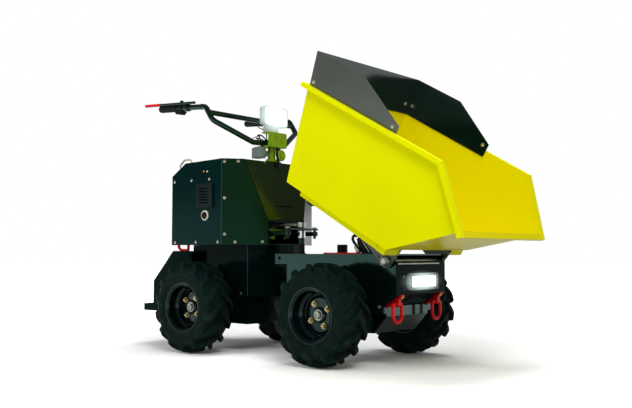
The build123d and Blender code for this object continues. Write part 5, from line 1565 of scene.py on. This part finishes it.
# ---------------------------------------------------------------- stage
@dataclass
class Stage:
    """Floor, lights and camera.

    Attributes:
        eye: Camera place.
        turn: Angle of the view from +Y towards -X, in degrees.
        lift: How far it looks up, in degrees.
        lens: Focal length on the sensor.
        sensor: Width of the sensor.
        span: Half the floor's side, in metres.
        paint: The floor's colour to the camera.
        bounce: The floor's colour as the object sees it.
        near_glow: The floor's own light close to the machine.
        fade: Distances in metres between which that grows to full white.
        ambient: Light of the world on rough surfaces.
        band: Sines of the heights between which the bright lower backdrop ends, for glossy rays.
        upper: Brightness of the backdrop above it, for glossy rays.
        lamps: Name, place in metres, size in metres and power in watts of each lamp.
        aim: Where the lamps point, in metres.
    """

    eye: Triple = (2917.2, -2850.2, 457.1)
    turn: float = 40.56
    lift: float = 3.45
    lens: float = 46.64
    sensor: float = 36.0
    span: float = 60.0
    paint: float = 0.92
    bounce: float = 0.42
    near_glow: float = 0.03
    fade: tuple = (0.9, 3.4)
    ambient: float = 0.42
    band: tuple = (0.02, 0.085)
    upper: float = 0.16
    lamps: tuple = (
        ("key", (2.8, -2.2, 3.4), 1.8, 98.0),
        ("fill", (-2.0, -3.8, 2.2), 2.4, 78.0),
        ("top", (0.4, 0.4, 4.2), 2.2, 100.0),
    )
    aim: Triple = (0.1, 0.0, 0.5)

    def build(self) -> None:
        """Builds the whole stage."""
        self._floor()
        self._world()
        self._lights()
        self._camera()
        bpy.context.scene.view_settings.view_transform = "Standard"

    def _floor(self) -> None:
        """A pale floor that reads as white to the camera further out and keeps the machine's shadow.

        Its own light for camera, glossy and transmitted rays grows with the distance from the machine, so
        that it meets the white backdrop without an edge.
        """
        square = np.array([[-1.0, -1.0, 0.0], [1.0, -1.0, 0.0], [1.0, 1.0, 0.0], [-1.0, 1.0, 0.0]])
        floor = make_piece("floor", (self.span * square, [[0, 1, 2, 3]]), smooth=False)
        material = bpy.data.materials.new("floor")
        material.use_nodes = True
        graph = Graph(material.node_tree)
        graph.tree.nodes.clear()
        ray = graph.node("LightPath").outputs
        tone = graph.mixed(ray["Is Camera Ray"], (self.bounce,) * 3, (self.paint,) * 3)
        seen = graph.math("MAXIMUM", ray["Is Camera Ray"], ray["Is Glossy Ray"])
        seen = graph.math("MAXIMUM", seen, ray["Is Transmission Ray"])
        level = graph.spread(graph.vector("LENGTH", graph.place), *self.fade, self.near_glow, 1.0)
        paint = graph.node("BsdfDiffuse", {"Color": tone}).outputs[0]
        glow = graph.node("Emission", {"Strength": graph.math("MULTIPLY", seen, level)}).outputs[0]
        graph.node("OutputMaterial", {"Surface": graph.node("AddShader", {0: paint, 1: glow}).outputs[0]})
        floor.data.materials.append(material)

    def _world(self) -> None:
        """White to the camera and to transmitted rays, white low down to glossy rays and dimmer above."""
        world = bpy.data.worlds.new("studio")
        bpy.context.scene.world = world
        world.use_nodes = True
        graph = Graph(world.node_tree)
        ray = graph.node("LightPath").outputs
        height = graph.split(graph.node("TexCoord").outputs["Generated"])[2]
        wall = graph.spread(height, *self.band, 1.0, self.upper)
        plain = graph.mixed(ray["Is Glossy Ray"], self.ambient, wall, "FLOAT")
        most = graph.math("MAXIMUM", ray["Is Camera Ray"], ray["Is Transmission Ray"])
        level = graph.mixed(most, plain, 1.0, "FLOAT")
        graph.fill(world.node_tree.nodes["Background"], {"Strength": level, "Color": (1.0, 1.0, 1.0)})

    def _lights(self) -> None:
        """A large key from the camera's right, a fill from its left and a top light."""
        for name, place, size, power in self.lamps:
            lamp = bpy.data.lights.new(name, "AREA")
            lamp.shape = "DISK"
            lamp.size = size
            lamp.energy = power
            holder = bpy.data.objects.new(name, lamp)
            holder.visible_glossy = False
            bpy.context.scene.collection.objects.link(holder)
            holder.matrix_world = look_at(np.array(place), np.array(self.aim))

    def _camera(self) -> None:
        """The camera at its place and angle of view."""
        data = bpy.data.cameras.new("portrait")
        data.lens = self.lens
        data.sensor_width = self.sensor
        data.sensor_fit = "HORIZONTAL"
        data.clip_end = 100.0
        camera = bpy.data.objects.new("portrait", data)
        bpy.context.scene.collection.objects.link(camera)
        eye = at(self.eye)
        a, p = math.radians(self.turn), math.radians(self.lift)
        run = np.array([-math.sin(a) * math.cos(p), math.cos(a) * math.cos(p), math.sin(p)])
        camera.matrix_world = look_at(eye, eye + run)
        bpy.context.scene.camera = camera


def look_at(eye: Array, target: Array) -> Matrix:
    """Place and turn of a lamp or a camera that looks along its -Z, with +Y up.

    Args:
        eye: Where it stands, in metres.
        target: Where it looks.

    Returns:
        Its matrix.
    """
    back = (eye - target) / np.linalg.norm(eye - target)
    right = np.cross(UP, back)
    right /= np.linalg.norm(right)
    turn = Matrix(np.column_stack([right, np.cross(back, right), back]).tolist()).to_4x4()
    return Matrix.Translation(eye) @ turn


# ---------------------------------------------------------------- the whole
def paint_frame() -> None:
    """Gives every CAD node the finish of its record slot, or its own."""
    slots = {s["node"]: s["material_slot"] for s in frame["record"]["subparts"]}
    for name, node in frame["nodes"].items():
        finish = NODE_FINISH.get(name, SLOT_FINISH[slots[name]])
        node.data.materials.clear()
        node.data.materials.append(material_of(finish))
        LOG.info("%s in %s", name, finish.name)


def main() -> None:
    """Builds everything in order."""
    logging.basicConfig(level=logging.INFO, format="%(name)s: %(message)s")
    Stage().build()
    paint_frame()
    for corner in ("front_left", "front_right", "rear_left", "rear_right"):
        Tyre(corner).build()
        WheelTrim(corner).build()
    for trim in (BoxTrim, PlatformTrim, HeadTrim, BarTrim, PivotTrim, RamTrim, FrontTrim, SkipTrim):
        trim().build()


if __name__ == "__main__":
    main()
